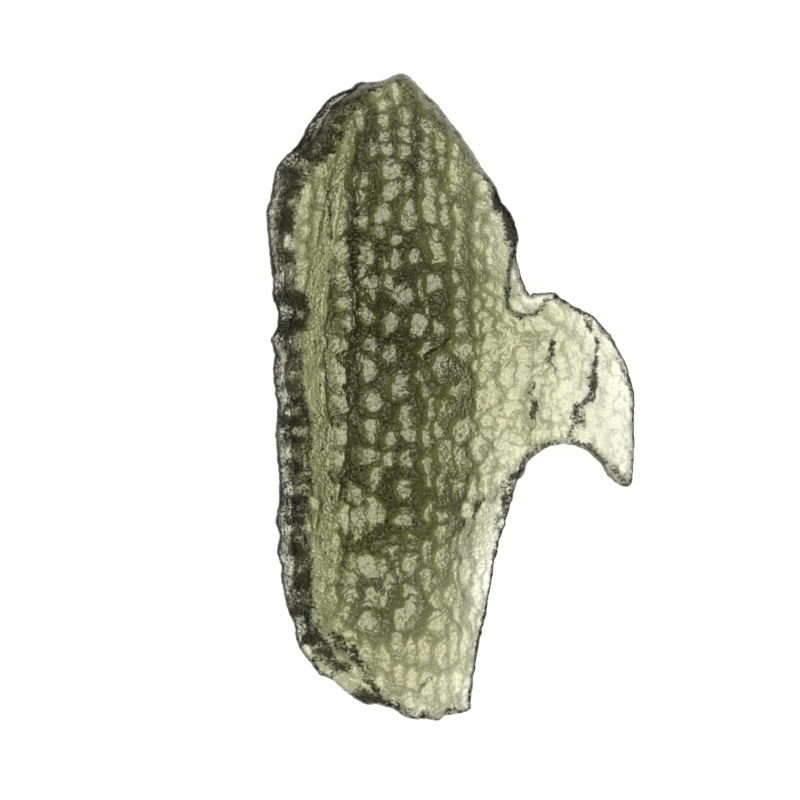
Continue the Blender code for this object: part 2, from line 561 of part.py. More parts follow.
def glass_material():
    """Olive green natural glass."""
    material = bpy.data.materials.new("moldavite_glass")
    material.use_nodes = True
    shader = material.node_tree.nodes["Principled BSDF"]
    shader.inputs["Base Color"].default_value = GLASS_COLOUR
    shader.inputs["Roughness"].default_value = GLASS_ROUGHNESS
    shader.inputs["IOR"].default_value = GLASS_IOR
    shader.inputs["Transmission Weight"].default_value = 1.0
    return material


def build_stone():
    """The stone, thinned to few triangles, with its lowest points level on the flat spot."""
    stone = bpy.data.objects.new(NAME, stone_mesh(POINT_SPACING_PX))
    bpy.context.scene.collection.objects.link(stone)
    thinning = stone.modifiers.new("Thinning", "DECIMATE")
    thinning.ratio = KEPT_TRIANGLES / len(stone.data.polygons)
    seen = stone.evaluated_get(bpy.context.evaluated_depsgraph_get())
    thinned = bpy.data.meshes.new_from_object(seen)
    stone.modifiers.clear()
    for vertex in thinned.vertices:
        if vertex.co.z < FLAT_SPOT_LEVEL_MM * METRES_PER_MM:
            vertex.co.z = 0.0
    stone.data = thinned
    stone.data.materials.append(glass_material())
    return stone


def main():
    for thing in list(bpy.data.objects):
        bpy.data.objects.remove(thing, do_unlink=True)
    build_stone()


main()
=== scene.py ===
"""The look of a moldavite: natural green glass, cupped all over, seen from straight above on a white ground.

The solid from the frame gives the place and size. The piece that stands for it repeats the solid's forms
on a much finer mesh, and adds what is too small for the solid: the cups' ragged edges, grains and a notched
rim. Places in the plan are pixels of the view from above, across and down, and MM_PER_PX gives them their
real size. Heights and depths are in millimetres.
"""

import math

import bpy
import numpy as np
from mathutils.geometry import delaunay_2d_cdt
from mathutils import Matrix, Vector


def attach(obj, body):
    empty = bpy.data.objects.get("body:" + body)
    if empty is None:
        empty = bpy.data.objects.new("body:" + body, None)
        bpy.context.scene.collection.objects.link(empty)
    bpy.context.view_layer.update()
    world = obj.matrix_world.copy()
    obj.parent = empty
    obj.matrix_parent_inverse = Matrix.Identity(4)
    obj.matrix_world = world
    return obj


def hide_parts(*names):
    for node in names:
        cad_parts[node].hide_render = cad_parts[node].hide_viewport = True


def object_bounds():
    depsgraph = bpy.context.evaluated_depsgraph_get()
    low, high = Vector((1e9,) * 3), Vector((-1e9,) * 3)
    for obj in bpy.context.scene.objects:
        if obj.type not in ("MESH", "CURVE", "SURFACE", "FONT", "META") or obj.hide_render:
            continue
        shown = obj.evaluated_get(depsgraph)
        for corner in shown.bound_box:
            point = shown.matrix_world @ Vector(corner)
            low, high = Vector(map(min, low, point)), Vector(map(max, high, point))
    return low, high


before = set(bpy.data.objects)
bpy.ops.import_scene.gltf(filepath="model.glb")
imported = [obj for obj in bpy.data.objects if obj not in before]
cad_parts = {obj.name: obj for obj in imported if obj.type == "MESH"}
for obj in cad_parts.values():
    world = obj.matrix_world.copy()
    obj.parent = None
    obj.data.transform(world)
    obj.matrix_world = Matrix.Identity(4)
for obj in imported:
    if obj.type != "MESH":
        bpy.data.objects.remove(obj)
CAD_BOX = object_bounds()

NODE = "moldavite"

# Driving dimensions, the same as the solid's.
LENGTH_MM = 46.0
LENGTH_PX = 655.0
MM_PER_PX = LENGTH_MM / LENGTH_PX
METRES_PER_MM = 0.001

# How far apart points lie along the solid's rim, and on the upper side and the underside of the mesh here.
SOLID_SPACING_PX = 3.2
UPPER_SPACING_PX = 1.44
LOWER_SPACING_PX = 3.8
RIM_MARGIN = 0.6
POINTS_PER_SPAN = 12
TINY = 1e-9

# The outline, from the foot of the left side, up over the top, round the hook and back along the bottom.
OUTLINE_PX = [
    (296, 640), (293, 623), (287, 608), (283, 590), (280, 577), (281, 566), (277, 552), (279, 535),
    (275.5, 520), (278.5, 503), (279, 480), (277, 452), (275.5, 430), (277.5, 408), (275, 393), (273, 370),
    (274.5, 355), (271, 340), (277, 328), (278, 312), (272.5, 298), (273, 282), (270, 262), (268.5, 240),
    (266, 215), (269.5, 200), (272.5, 186), (276, 169), (282, 159), (292, 150), (300, 140), (307, 126),
    (317, 112), (326, 100), (338, 91), (350, 86.5), (358, 80), (370, 79.8), (380, 79), (390, 74),
    (401, 70.5), (410, 74.5), (419, 84), (435, 99.5), (445, 112), (460, 131), (471, 147), (483, 166),
    (497, 186), (503, 201), (511, 211), (515, 220), (518, 229), (519.5, 238), (518, 246), (517.2, 255),
    (519.3, 265), (523, 278), (527.5, 290), (531.5, 295), (534, 293), (542, 292.5), (556, 292.5),
    (563, 298), (574, 305), (583, 309.5), (592, 314), (603, 325), (613, 336), (620, 350), (627, 364),
    (633, 382), (635.5, 400), (635, 425), (635.5, 445), (634.5, 468), (633, 482), (630, 487), (626, 487),
    (620, 485.5), (609, 476), (603, 466), (595, 457), (585, 450), (572, 445.5), (560, 445), (549, 447.5),
    (540, 453), (530, 461), (526, 469), (523.3, 476.5), (518.3, 482), (515.5, 490), (513.3, 499),
    (507.2, 518), (505, 528), (501, 538), (497.8, 555.5), (495, 562), (494, 572), (491.7, 583), (489, 600),
    (486, 620), (481, 640), (477.5, 660), (474, 681), (471.5, 704), (471, 711), (466, 714.5), (457, 716.5),
    (446, 718), (438, 723.5), (427, 721.5), (413, 721.5), (402, 717.5), (391, 711), (378, 707), (364, 706),
    (350, 697.5), (341, 690.5), (332, 682.5), (319, 676), (310, 665), (300, 650.5),
]
# Small notches and teeth along the rim: how far they go in and out, and how wide they are.
RIM_NOTCHES = [(0.55, 5.0), (0.4, 2.2)]

# The body's broad form: place in the plan, height of its crown and height of its underside. An underside
# below zero is cut off level there, which makes the flat spot that the stone lies on.
STATIONS = [
    (352, 110, 5.2, 1.5), (400, 95, 4.9, 1.5), (300, 190, 5.4, 2.6), (340, 180, 6.3, 2.2),
    (390, 200, 6.6, 0.7), (440, 170, 5.5, 1.1), (475, 200, 4.4, 1.8), (298, 250, 5.8, 2.8),
    (338, 250, 6.9, 2.5), (400, 300, 7.3, -0.1), (450, 280, 6.2, 0.6), (495, 260, 4.2, 1.8),
    (300, 380, 5.9, 2.8), (334, 380, 7.0, 2.6), (366, 395, 7.4, 0.8), (405, 400, 7.1, -0.8),
    (460, 380, 5.5, 1.0), (500, 360, 4.5, 1.7), (304, 480, 5.9, 2.8), (336, 480, 7.0, 2.4),
    (366, 500, 7.1, 0.9), (412, 500, 6.3, 0.0), (470, 470, 4.7, 1.6), (505, 440, 4.0, 2.1),
    (310, 570, 5.4, 2.5), (345, 570, 6.3, 1.9), (400, 580, 5.8, 0.9), (440, 600, 4.8, 1.5),
    (470, 580, 3.65, 2.2), (487, 520, 3.7, 2.4), (318, 640, 4.6, 2.2), (350, 640, 5.2, 1.7),
    (400, 660, 4.7, 1.5), (465, 650, 3.55, 2.0), (345, 682, 3.9, 2.1), (430, 705, 3.9, 2.0),
    (540, 340, 4.4, 2.2), (530, 430, 4.3, 2.1), (560, 400, 3.8, 2.4), (600, 360, 3.6, 2.7),
    (615, 430, 3.5, 2.8), (625, 480, 3.4, 2.7), (550, 300, 3.8, 2.5),
]
STATION_SCALE_PX = 100.0
RIM_LEVEL = {"left": 0.55, "body": 0.42, "hook": 0.45}

# The stone's side, from the rim inwards: a rounded foot, a lip that is nearly level, and the wall above it.
# The thick left side has the broadest lip, and the hook has hardly any.
LEFT_SIDE_PX = (400.0, 300.0)
LEFT_END_PX = (665.0, 630.0)
HOOK_SIDE_PX = (512.0, 530.0)
FOOT_WIDTH_MM = {"left": 0.2, "body": 0.42, "hook": 0.22}
FOOT_HEIGHT_MM = {"left": 0.4, "body": 0.9, "hook": 0.3}
LIP_WIDTH_MM = {"left": 0.9, "body": 0.1, "hook": 0.1}
LIP_SLOPE = 0.18
WALL_SLOPE = {"left": 2.0, "body": 1.6, "hook": 1.2}
UNDERCUT_WIDTH_MM = {"left": 1.9, "body": 0.8, "hook": 0.3}
UNDERCUT_ROUNDNESS = {"left": 0.25, "body": 1.0, "hook": 1.0}
RIM_HALF_THICKNESS_MM = 0.06
LEAST_CROWN_OVER_RIM_MM = 0.1
SHOULDER_ROUNDING_MM = 0.25

# Flutes across the thick left side: place down its length, half width, and depth into the side.
FLUTES = [
    (196, 8, 0.3), (222, 7, 0.38), (262, 8, 0.3), (355, 6, 0.42), (400, 6, 0.46), (422, 5, 0.3),
    (441, 6, 0.4), (467, 5, 0.4), (500, 7, 0.42), (520, 6, 0.3), (548, 7, 0.36), (580, 6, 0.3),
    (610, 8, 0.34), (640, 7, 0.3),
]
FLUTED_SIDE_PX = (345.0, 320.0)
FLUTE_START_MM = (0.3, 0.9)

# The round bite in the left side.
BITE_PX = (289.0, 313.0)
BITE_RADIUS_PX = 21.0
BITE_FLOOR_MM = 4.7
BITE_WALL_MM = 1.6
BITE_POWER = 2
BITE_GRAIN = 2.0

# The smooth band along the left shoulder, with its half width at each place.
BAND = [
    (352, 130, 4), (345, 160, 5), (337, 190, 5), (332, 218, 5), (327, 245, 6), (321, 275, 8), (315, 300, 9),
    (314, 330, 9), (314, 400, 9), (324, 430, 9), (320, 460, 8), (330, 500, 5), (322, 545, 6), (317, 580, 6),
    (316, 615, 5),
]
BAND_FADE_PX = 4.0

# The ledge where the body stops and the thin flake of the hook begins.
LEDGE_PX = [
    (513, 250), (511, 270), (509, 288), (507, 300), (509, 310), (515, 315), (523, 317), (533, 314),
    (541, 305), (550, 299), (560, 297),
]
FLAKE_CORNERS_PX = [(580, 280), (540, 250)]
LEDGE_DROP_MM = 0.75
LEDGE_HALF_WIDTH_PX = 2.2

# Narrow furrows and fissures: route, half width and depth.
FURROWS = [
    ([(354, 128), (356, 200), (355, 300), (358, 420)], 6.5, 0.24),
    ([(413, 100), (415, 150), (417, 205)], 6.0, 0.20),
    ([(331, 172), (329, 215), (332, 240)], 2.5, 0.22),
    ([(425, 358), (437, 348), (450, 343)], 3.0, 0.30),
    ([(485, 498), (480, 507), (474, 517)], 2.5, 0.30),
    ([(467, 522), (461, 536), (459, 552)], 5.0, 0.25),
    ([(521, 464), (515, 471), (509, 479)], 3.0, 0.35),
    ([(553, 342), (549, 362), (556, 372), (561, 381)], 1.8, 0.18),
    ([(534, 383), (530, 395), (534, 410), (534, 420), (530, 440), (527, 457)], 2.4, 0.22),
    ([(599, 337), (597, 350), (596, 370), (594, 385), (592, 398)], 1.6, 0.20),
    ([(590, 395), (580, 405), (576, 420), (572, 438)], 2.2, 0.20),
    ([(583, 312), (588, 320), (592, 328)], 2.2, 0.20),
    ([(430, 679), (422, 685), (421, 695)], 2.0, 0.20),
    ([(400, 108), (397, 135), (399, 160)], 3.0, 0.18),
]

# Cups that stand out in the sculpture: place, half width and half length of each one's floor.
CUPS = [
    (361, 200, 4, 7), (390, 194, 8, 8), (407, 191, 4, 7), (429, 190, 7, 10), (452, 190, 6, 8),
    (383, 218, 7, 9), (408, 222, 6, 12), (429, 213, 7, 10), (365, 227, 4, 6), (380, 238, 5, 5),
    (397, 244, 6, 5), (396, 261, 5, 10), (370, 259, 6, 9), (412, 259, 4, 7), (436, 249, 7, 15),
    (387, 267, 3, 5), (363, 274, 3, 5), (370, 285, 8, 6), (390, 284, 6, 6), (433, 285, 8, 7),
    (401, 296, 10, 9), (360, 299, 4, 5), (374, 296, 4, 6), (422, 292, 5, 8), (460, 298, 6, 6),
    (392, 323, 8, 11), (416, 325, 7, 11), (348, 324, 6, 6), (370, 320, 6, 5), (437, 331, 5, 6),
    (389, 351, 6, 7), (418, 374, 5, 5), (399, 390, 7, 10), (403, 412, 4, 7), (408, 433, 8, 8),
    (390, 437, 4, 8), (404, 460, 5, 9), (387, 460, 5, 7), (438, 367, 6, 8), (443, 451, 7, 9),
    (453, 391, 4, 5), (458, 355, 8, 7), (460, 430, 8, 8), (475, 447, 4, 10), (483, 399, 9, 9),
    (505, 377, 7, 8), (490, 344, 7, 6), (523, 353, 5, 8), (524, 373, 6, 8), (514, 395, 7, 5),
    (511, 410, 8, 5), (405, 488, 6, 11), (378, 479, 5, 9), (338, 488, 3, 8), (357, 489, 5, 5),
    (347, 515, 4, 14), (360, 517, 6, 17), (373, 508, 6, 15), (383, 511, 4, 8), (405, 517, 8, 6),
    (429, 511, 5, 8), (441, 515, 4, 6), (455, 482, 4, 4), (471, 494, 4, 10), (464, 511, 5, 8),
    (382, 542, 5, 4), (369, 562, 8, 10), (381, 561, 5, 6), (355, 558, 5, 6), (425, 551, 4, 13),
    (408, 563, 6, 8), (442, 558, 6, 10), (354, 577, 4, 6), (387, 579, 4, 9), (407, 588, 5, 6),
    (352, 593, 4, 7), (382, 597, 4, 8), (408, 606, 5, 8), (433, 596, 7, 8), (448, 593, 6, 8),
    (475, 588, 3, 14), (457, 609, 3, 10), (436, 621, 7, 5), (450, 642, 4, 13), (462, 650, 3, 16),
    (438, 652, 4, 12), (424, 648, 4, 10), (455, 684, 4, 14), (441, 688, 4, 13), (466, 692, 3, 13),
    (427, 684, 4, 11), (472, 620, 2, 13), (411, 645, 4, 12), (397, 640, 4, 11), (385, 655, 4, 12),
    (399, 672, 4, 10), (413, 680, 4, 12), (463, 570, 4, 12), (341, 208, 6, 7), (343, 229, 5, 8),
    (344, 256, 7, 10), (345, 284, 6, 9), (344, 304, 6, 6), (343, 346, 6, 7), (342, 374, 6, 11),
    (344, 403, 6, 9), (343, 432, 6, 9), (341, 458, 6, 8), (371, 345, 6, 6), (372, 370, 5, 9),
    (375, 400, 6, 9), (373, 428, 5, 9), (372, 455, 6, 8),
]
# The round pits and the broad cups of the top: place, half width and half length of the floor, and depth.
PITS = [
    (371, 590, 5, 6, 0.42), (368, 616, 5, 7, 0.42), (436, 618, 8, 8, 0.28), (405, 115, 6, 10, 0.3),
    (406, 134, 6, 9, 0.3), (384, 122, 6, 6, 0.3), (386, 138, 5, 7, 0.3), (405, 155, 6, 8, 0.3),
    (387, 154, 7, 7, 0.3), (390, 173, 10, 8, 0.32), (425, 157, 6, 5, 0.3), (427, 130, 7, 6, 0.28),
    (424, 144, 5, 6, 0.28), (440, 143, 5, 8, 0.26), (455, 173, 6, 12, 0.26), (361, 117, 4, 13, 0.28),
    (362, 182, 6, 8, 0.3), (383, 107, 5, 6, 0.28), (441, 162, 4, 7, 0.26), (372, 150, 4, 10, 0.28),
]
# The rest stands in columns on the thick part of the stone.
COLUMNS_PX = (275.0, 470.0)
ROWS_PX = (80.0, 725.0)
COLUMN_SPACING_PX = 15.0
COLUMN_JITTER_PX = 2.5
FIRST_ROW_JITTER_PX = 20.0
CUP_HALF_WIDTH_PX = (2.5, 5.5)
CUP_HALF_LENGTH_PX = (4.0, 11.0)
CUP_GAP_PX = (3.0, 8.0)
CUP_CLEARANCE_PX = 1.0
# To the right of the columns, small cups are scattered.
SCATTER_PX = (478.0, 640.0)
SCATTER_SPACING_PX = (10.5, 9.5)
SCATTER_JITTER_PX = 3.0
SCATTERED_HALF_PX = (2.6, 5.2)
CUP_DEPTH_MM = (0.24, 0.38)
CUP_TILT = 0.10
CUP_WALL_SLOPE = 0.8
FLOOR_TRIM_PX = 0.4
WALL_REACH_PX = 16.0
RIDGE_RISE_MM = 0.22
LEVELLING = 0.8
LEVELLED_MM = 0.4
SQUARENESS = 2.3
# Noise bends the cups' edges: how far across and down, and how large its waves are.
WARPS_PX = [(2.0, 2.8, 8.0), (1.2, 1.5, 3.4)]
# The columns of cups run in long soft waves.
WAVE_PX = 3.0
WAVE_SIZE_PX = 20.0

# Where the surface is smooth, without cups: place, half width and half length.
SMOOTH_PATCHES = [(500, 255, 11, 42), (508, 342, 9, 13), (488, 540, 15, 30), (348, 683, 16, 16)]
PATCH_FADE = 0.35

# How deep the sculpture is from place to place, as a part of its full depth.
RELIEF = [
    (360, 150, 0.9), (400, 300, 1.0), (380, 500, 1.0), (440, 420, 0.8), (480, 250, 0.6), (500, 420, 0.5),
    (460, 600, 0.5), (420, 690, 0.5), (545, 370, 0.5), (600, 400, 0.18), (300, 400, 0.6), (460, 150, 0.7),
    (300, 620, 0.8), (630, 470, 0.12), (560, 300, 0.3),
]
RELIEF_REACH_PX = 55.0
CALM_START_MM = {"left": 0.7, "body": 0.0, "hook": 0.0}
CALM_END_MM = {"left": 1.15, "body": 0.55, "hook": 0.55}

# Grains over the whole upper side: height and width. They fade in from the rim.
GRAINS = [(0.026, 4.4), (0.012, 2.8)]
CALM_GRAIN_MM = 0.2
BAND_CALM = 0.5

# The underside has soft round dimples, but none on the flat spot, which must stay level, and none under
# the band.
FLAT_SPOT_CALM_MM = 0.35
UNDERSIDE_RELIEF = 0.5
DIMPLE_SPREAD = 2.2
DIMPLED_PX = (345.0, 385.0)

# Broad, soft lumps over the whole stone.
LUMP_SIZE_PX = 46.0
LUMP_MM = 0.16

NOISE_TABLE = 64
# Each kind of noise adds a number of its own to the seed.
SEED = 20

# Painted shade on the glass, from 0, clear, to 1, nearly black. Lines of painted shade: route, half width,
# darkness.
PAINTED_SHADE_LINES = [
    ([(494, 190), (501, 203), (508, 216), (512, 230), (514, 246)], 6.5, 0.95),
    ([(513, 250), (510, 272), (507, 298), (511, 312), (519, 316)], 2.6, 0.9),
    ([(519, 316), (533, 315), (544, 305), (549, 299), (558, 296)], 3.0, 0.75),
    ([(514, 295), (520, 296), (524, 293), (531, 295)], 1.0, 0.55),
    ([(522, 309), (536, 311)], 1.0, 0.6),
    ([(558, 297), (573, 306), (588, 314), (599, 323)], 5.0, 0.95),
    ([(578, 308), (586, 319), (592, 329)], 3.2, 0.9),
    ([(599, 323), (611, 338), (625, 365), (632, 390), (634, 420), (634, 458), (631, 482)], 2.2, 0.5),
    ([(553, 342), (549, 352), (549, 362)], 2.6, 0.9),
    ([(549, 362), (556, 372), (561, 381)], 1.6, 0.55),
    ([(536, 383), (531, 395), (531, 400)], 2.4, 0.65),
    ([(534, 405), (535, 418)], 2.2, 0.9),
    ([(535, 420), (531, 440), (527, 457)], 1.6, 0.35),
    ([(599, 337), (597, 350), (595, 366)], 1.8, 0.9),
    ([(595, 366), (596, 380), (592, 398)], 3.4, 0.92),
    ([(590, 397), (580, 405), (575, 415)], 3.0, 0.85),
    ([(577, 405), (574, 425), (570, 438)], 4.0, 0.6),
    ([(527, 459), (540, 449), (550, 445), (572, 443), (588, 447)], 5.5, 0.75),
    ([(588, 447), (602, 458), (614, 471), (626, 482)], 3.0, 0.5),
    ([(528, 462), (521, 470), (514, 477)], 5.5, 0.95),
    ([(512, 480), (505, 490)], 5.5, 0.6),
    ([(512, 497), (506, 500)], 5.0, 0.95),
    ([(506, 503), (503, 516)], 5.0, 0.8),
    ([(500, 518), (499, 528)], 4.5, 0.55),
    ([(501, 530), (498, 545), (494, 562)], 3.6, 0.85),
    ([(494, 562), (490, 590), (484, 622)], 2.4, 0.8),
    ([(484, 622), (477, 660), (473, 690), (471, 712)], 3.4, 0.85),
    ([(485, 498), (480, 507), (474, 517)], 2.2, 0.85),
    ([(424, 358), (433, 350), (440, 347), (448, 344)], 2.4, 0.7),
    ([(413, 519), (415, 524)], 2.0, 0.8),
    ([(335, 634), (345, 645), (352, 650)], 7.0, 0.75),
    ([(352, 648), (360, 664)], 4.0, 0.8),
    ([(363, 664), (370, 680), (378, 690)], 5.0, 0.8),
    ([(365, 692), (382, 700), (400, 706)], 4.0, 0.9),
    ([(400, 708), (413, 716), (428, 722)], 7.0, 0.8),
    ([(430, 679), (422, 685), (421, 695)], 1.4, 0.55),
    ([(447, 713), (453, 709), (460, 713)], 2.2, 0.95),
    ([(358, 80), (372, 84), (390, 76), (401, 71)], 3.0, 0.6),
    ([(401, 71), (412, 76), (420, 85), (436, 101), (460, 132), (484, 168), (500, 195)], 4.6, 0.62),
    ([(318, 112), (326, 101), (340, 92), (357, 84), (376, 90)], 6.5, 0.75),
    ([(331, 172), (329, 215), (331, 240)], 1.3, 0.6),
]
# Lines round the pits and across the columns that take the gaps' painted shade and grain: route and half
# width.
RIDGE_LINES = [
    ([(363, 597), (362, 587), (366, 580), (373, 578), (380, 582), (382, 591)], 3.5),
    ([(358, 627), (356, 616), (359, 608), (367, 604), (376, 607), (380, 616), (379, 627)], 4.0),
    ([(382, 612), (390, 618), (388, 630)], 4.0),
    ([(424, 622), (427, 612), (436, 608), (446, 614)], 2.5),
    ([(372, 549), (390, 542), (410, 541), (428, 535)], 4.5),
]
# Soft grey bands of painted shade: route, half width, darkness.
SHADED_LINES = [
    ([(586, 450), (602, 460), (614, 472), (625, 481)], 8.0, 0.7),
    ([(599, 323), (611, 338), (625, 365), (631, 390), (632, 440), (629, 480)], 3.0, 0.45),
]
# The lines of painted shade are broken up by noise: how much is missing, between which levels, and the size
# of the gaps.
LINE_BREAKS = 0.65
BREAK_LEVELS = (-0.1, 0.5)
BREAK_PX = 3.0
# Faint streaks down the smooth band: how dark, and how wide and long.
BAND_STREAKS = 0.4
STREAK_PX = (2.2, 8.0)
# Places of black painted shade: middle, half width, half length, darkness.
PAINTED_BLACK_PLACES = [
    (511, 226, 9, 22, 0.92), (500, 202, 8, 14, 0.85), (345, 100, 24, 13, 0.55), (330, 112, 14, 14, 0.55),
    (307, 146, 9, 17, 0.8), (290, 181, 12, 17, 0.8), (286, 218, 12, 15, 0.75), (275, 262, 6, 14, 0.75),
    (290, 300, 22, 8, 0.8), (290, 327, 20, 8, 0.8), (304, 313, 7, 16, 0.7), (345, 668, 8, 7, 0.7),
    (312, 634, 10, 8, 0.5), (372, 698, 14, 5, 0.8), (330, 690, 8, 5, 0.6), (580, 417, 7, 15, 0.45),
    (593, 385, 5, 12, 0.55), (552, 352, 3, 8, 0.6), (534, 409, 4, 11, 0.6),
]
# Broad soft shade, in the same form.
SHADED_PLACES = [
    (612, 400, 38, 110, 0.2), (560, 380, 45, 90, 0.08), (330, 145, 14, 22, 0.3), (390, 595, 50, 50, 0.32),
    (532, 380, 24, 70, 0.12), (430, 702, 60, 22, 0.12), (370, 130, 12, 40, 0.3), (400, 250, 60, 150, 0.2),
    (355, 270, 6, 150, 0.6), (415, 150, 7, 52, 0.5), (410, 130, 60, 50, 0.25), (445, 365, 14, 14, 0.3),
    (380, 345, 25, 9, 0.35),
]
# Where places and lines begin to fade and where they end, as parts of their half width.
PLACE_FADE = (0.5, 1.2)
LINE_FADE = (0.3, 1.3)
# Places that the painted shade leaves lighter than the dark side round them: middle, half width, half length,
# least light.
LIGHT_PLACES = [
    (344, 684, 18, 14, 0.95), (322, 670, 14, 9, 0.92), (307, 652, 10, 11, 0.88), (296, 630, 8, 16, 0.7),
    (301, 315, 6, 4, 0.8), (283, 309, 6, 8, 0.45), (294, 344, 8, 5, 0.6), (295, 376, 7, 6, 0.75),
    (293, 412, 9, 6, 0.7), (298, 430, 8, 5, 0.8), (290, 453, 9, 6, 0.65), (291, 490, 9, 7, 0.6),
    (292, 530, 8, 6, 0.6), (290, 245, 9, 11, 0.7), (288, 275, 9, 13, 0.75), (414, 714, 9, 6, 0.7),
    (328, 122, 8, 12, 0.55), (296, 203, 7, 8, 0.5),
]
# The thick left side has painted shade up to this border, which runs down from the top. The corners close it
# to a loop.
SIDE_BORDER_PX = [
    (376, 68), (368, 90), (356, 105), (349, 120), (343, 138), (334, 155), (324, 167), (310, 180),
    (302, 195), (297, 215), (295, 240), (296, 270), (299, 291), (309, 313), (303, 333), (302, 345),
    (304, 360), (306, 380), (305, 395), (308, 405), (312, 418), (311, 430), (311, 468), (313, 480),
    (313, 495), (307, 508), (306, 530), (309, 538), (312, 560), (315, 590), (312, 618), (318, 627),
    (330, 640), (338, 660), (352, 676), (372, 694), (396, 708), (430, 740),
]
SIDE_CORNERS_PX = [(200, 740), (200, 68)]
# How dark the painted shade is in its flutes, how much lighter on the lumps between them, and its patches and
# their size.
SIDE_PAINTED_SHADE = 0.96
SIDE_RIB_PART = 0.35
SIDE_PATCHES = 0.40
SIDE_PATCH_PX = (11.0, 5.0)
SIDE_FADE_PX = 3.0
# Painted shade in the gaps between the cups: how dark, how dark in shallow sculpture, and from which depth it
# begins.
GAP_PAINTED_SHADE = 0.78
LEAST_GAP_PAINTED_SHADE = 0.12
GAP_DEPTH_MM = (0.25, 0.04)

# The glass: how it bends and scatters light, and how much of each colour a millimetre of it takes.
GLASS_IOR = 1.49
GLASS_SMOOTH = 0.28
GLASS_FROSTED = 0.30
GLASS_TAKES_PER_MM = (0.325, 0.314, 0.54)
VOLUME_DENSITY = 700.0
# The colour that the painted shade darkens the glass towards, and how much shine is left in the darkest
# painted shade.
PAINTED_SHADE_COLOUR = (0.006, 0.006, 0.004, 1.0)
CLEAR_COLOUR = (1.0, 1.0, 1.0, 1.0)
SHINE_IN_PAINTED_SHADE = 0.1
# The grain that is finer than the mesh: its widths and depth in metres, and how much each kind counts.
FINE_CUP_M = 0.00020
FINE_CUP_DEPTH_M = 0.0002
COARSE_CUP_M = 0.00036
COARSE_CUP_PART = 0.8
FINE_NOISE_M = 0.00017
FINE_NOISE_PART = 0.35
CUP_POWER = 2.0
NOISE_DETAIL = 2.0
# Painted shade in the creases between the fine cups: where it begins, from the middle of a cup, and how dark
# it is.
CREASE_START = (0.42, 0.66)
FLOOR_CREASE_SHADE = 0.42
GAP_CREASE_SHADE = 0.4
LEAST_CREASE_SHADE = 0.35
# How deep that grain is on the cups' floors, in the gaps, where the painted shade is dark, on the band and on
# the facets.
FLOOR_GRAIN = 0.3
LEAST_FLOOR_GRAIN = 0.55
LEFT_FLOOR_GRAIN = 0.25
LEFT_CALM = 0.5
GRAINED_PX = (345.0, 325.0)
GAP_GRAIN = 0.85
DARK_GRAIN = 1.0
DARK_FLOOR_PART = 0.35
DARK_GRAIN_START = (0.78, 0.96)
BAND_GRAIN = 0.3
FACET_GRAIN = 0.14
LUMP_CALM = 0.6
# Painted shade is broken up by speckles, which count most where it is half dark.
SPECKLE_M = 0.00018
SPECKLE_STRENGTH = 0.6
HALF_DARK_GAIN = 4.0
SPECKLE_LEVELS = (0.35, 0.65)
GAP_SPECKLE = (0.7, 1.15)
# The cups are frosted from this depth on, with an uneven edge.
FROST_DEPTH_MM = (0.06, 0.26)
FROST_NOISE_MM = 0.14
FROST_NOISE_PX = 2.6
# Smooth facets along the rim of the thick left side: where they end, in from the rim, and each one's place
# down the side, half length and part of that width.
FACET_MM = (1.15, 0.8)
FACETS_PX = [(108, 36, 0.75), (225, 62, 0.55), (374, 42, 1.0), (455, 40, 0.5), (552, 48, 0.85)]
FACET_FADE = (0.5, 1.0)
# The rim's own steep face is smooth on the left and at the top.
RIM_GRAIN = 0.2
RIM_FACE_MM = (0.4, 0.15)
TOP_FACE_PX = (215.0, 180.0)

# The ground, the light and the camera.
FLOOR_HALF_M = 1.5
FLOOR_COLOUR = (0.1, 0.1, 0.1, 1.0)
FLOOR_ROUGHNESS = 0.8
FLOOR_GLOW = 0.8
ROOM_LIGHT = 0.12
BACKDROP_LIGHT = 1.0
LAMP_HEIGHT_M = 0.5
LAMP_HALF_ANGLE_DEG = 38.0
LAMP_RADIANCE = 9.7
LAMP_COLOUR = (1.0, 1.0, 0.78)
LENS_MM = 100.0
SENSOR_MM = 36.0
FRAME_PX = 800.0
RIM_HEIGHT_M = 0.004


def smooth_step(low, high, value):
    """0 up to low, 1 from high on, and a smooth rise between them; low may be the greater of the two."""
    t = np.clip((value - low) / (high - low), 0.0, 1.0)
    return t * t * (3.0 - 2.0 * t)


def mix(first, second, part):
    """The first value where the part is 0, the second where it is 1, and between them elsewhere."""
    return first + (second - first) * part


def value_noise(px, py, size, number):
    """Soft noise from -1 to 1. The size of its waves is one number, or one across and one down."""
    table = np.random.default_rng(SEED + number).uniform(-1.0, 1.0, (NOISE_TABLE, NOISE_TABLE))
    width, height = np.broadcast_to(size, 2)
    across, down = px / width, py / height
    column = np.floor(across).astype(int)
    row = np.floor(down).astype(int)
    u = smooth_step(0.0, 1.0, across - column)
    v = smooth_step(0.0, 1.0, down - row)
    column, next_column = column % NOISE_TABLE, (column + 1) % NOISE_TABLE
    row, next_row = row % NOISE_TABLE, (row + 1) % NOISE_TABLE
    left = table[row, column] * (1 - v) + table[next_row, column] * v
    right = table[row, next_column] * (1 - v) + table[next_row, next_column] * v
    return left * (1 - u) + right * u


def smooth_lower(a, b, rounding):
    """The lower of two heights, rounded where they cross."""
    blend = np.clip(0.5 + 0.5 * (b - a) / rounding, 0.0, 1.0)
    return b * (1 - blend) + a * blend - rounding * blend * (1 - blend)


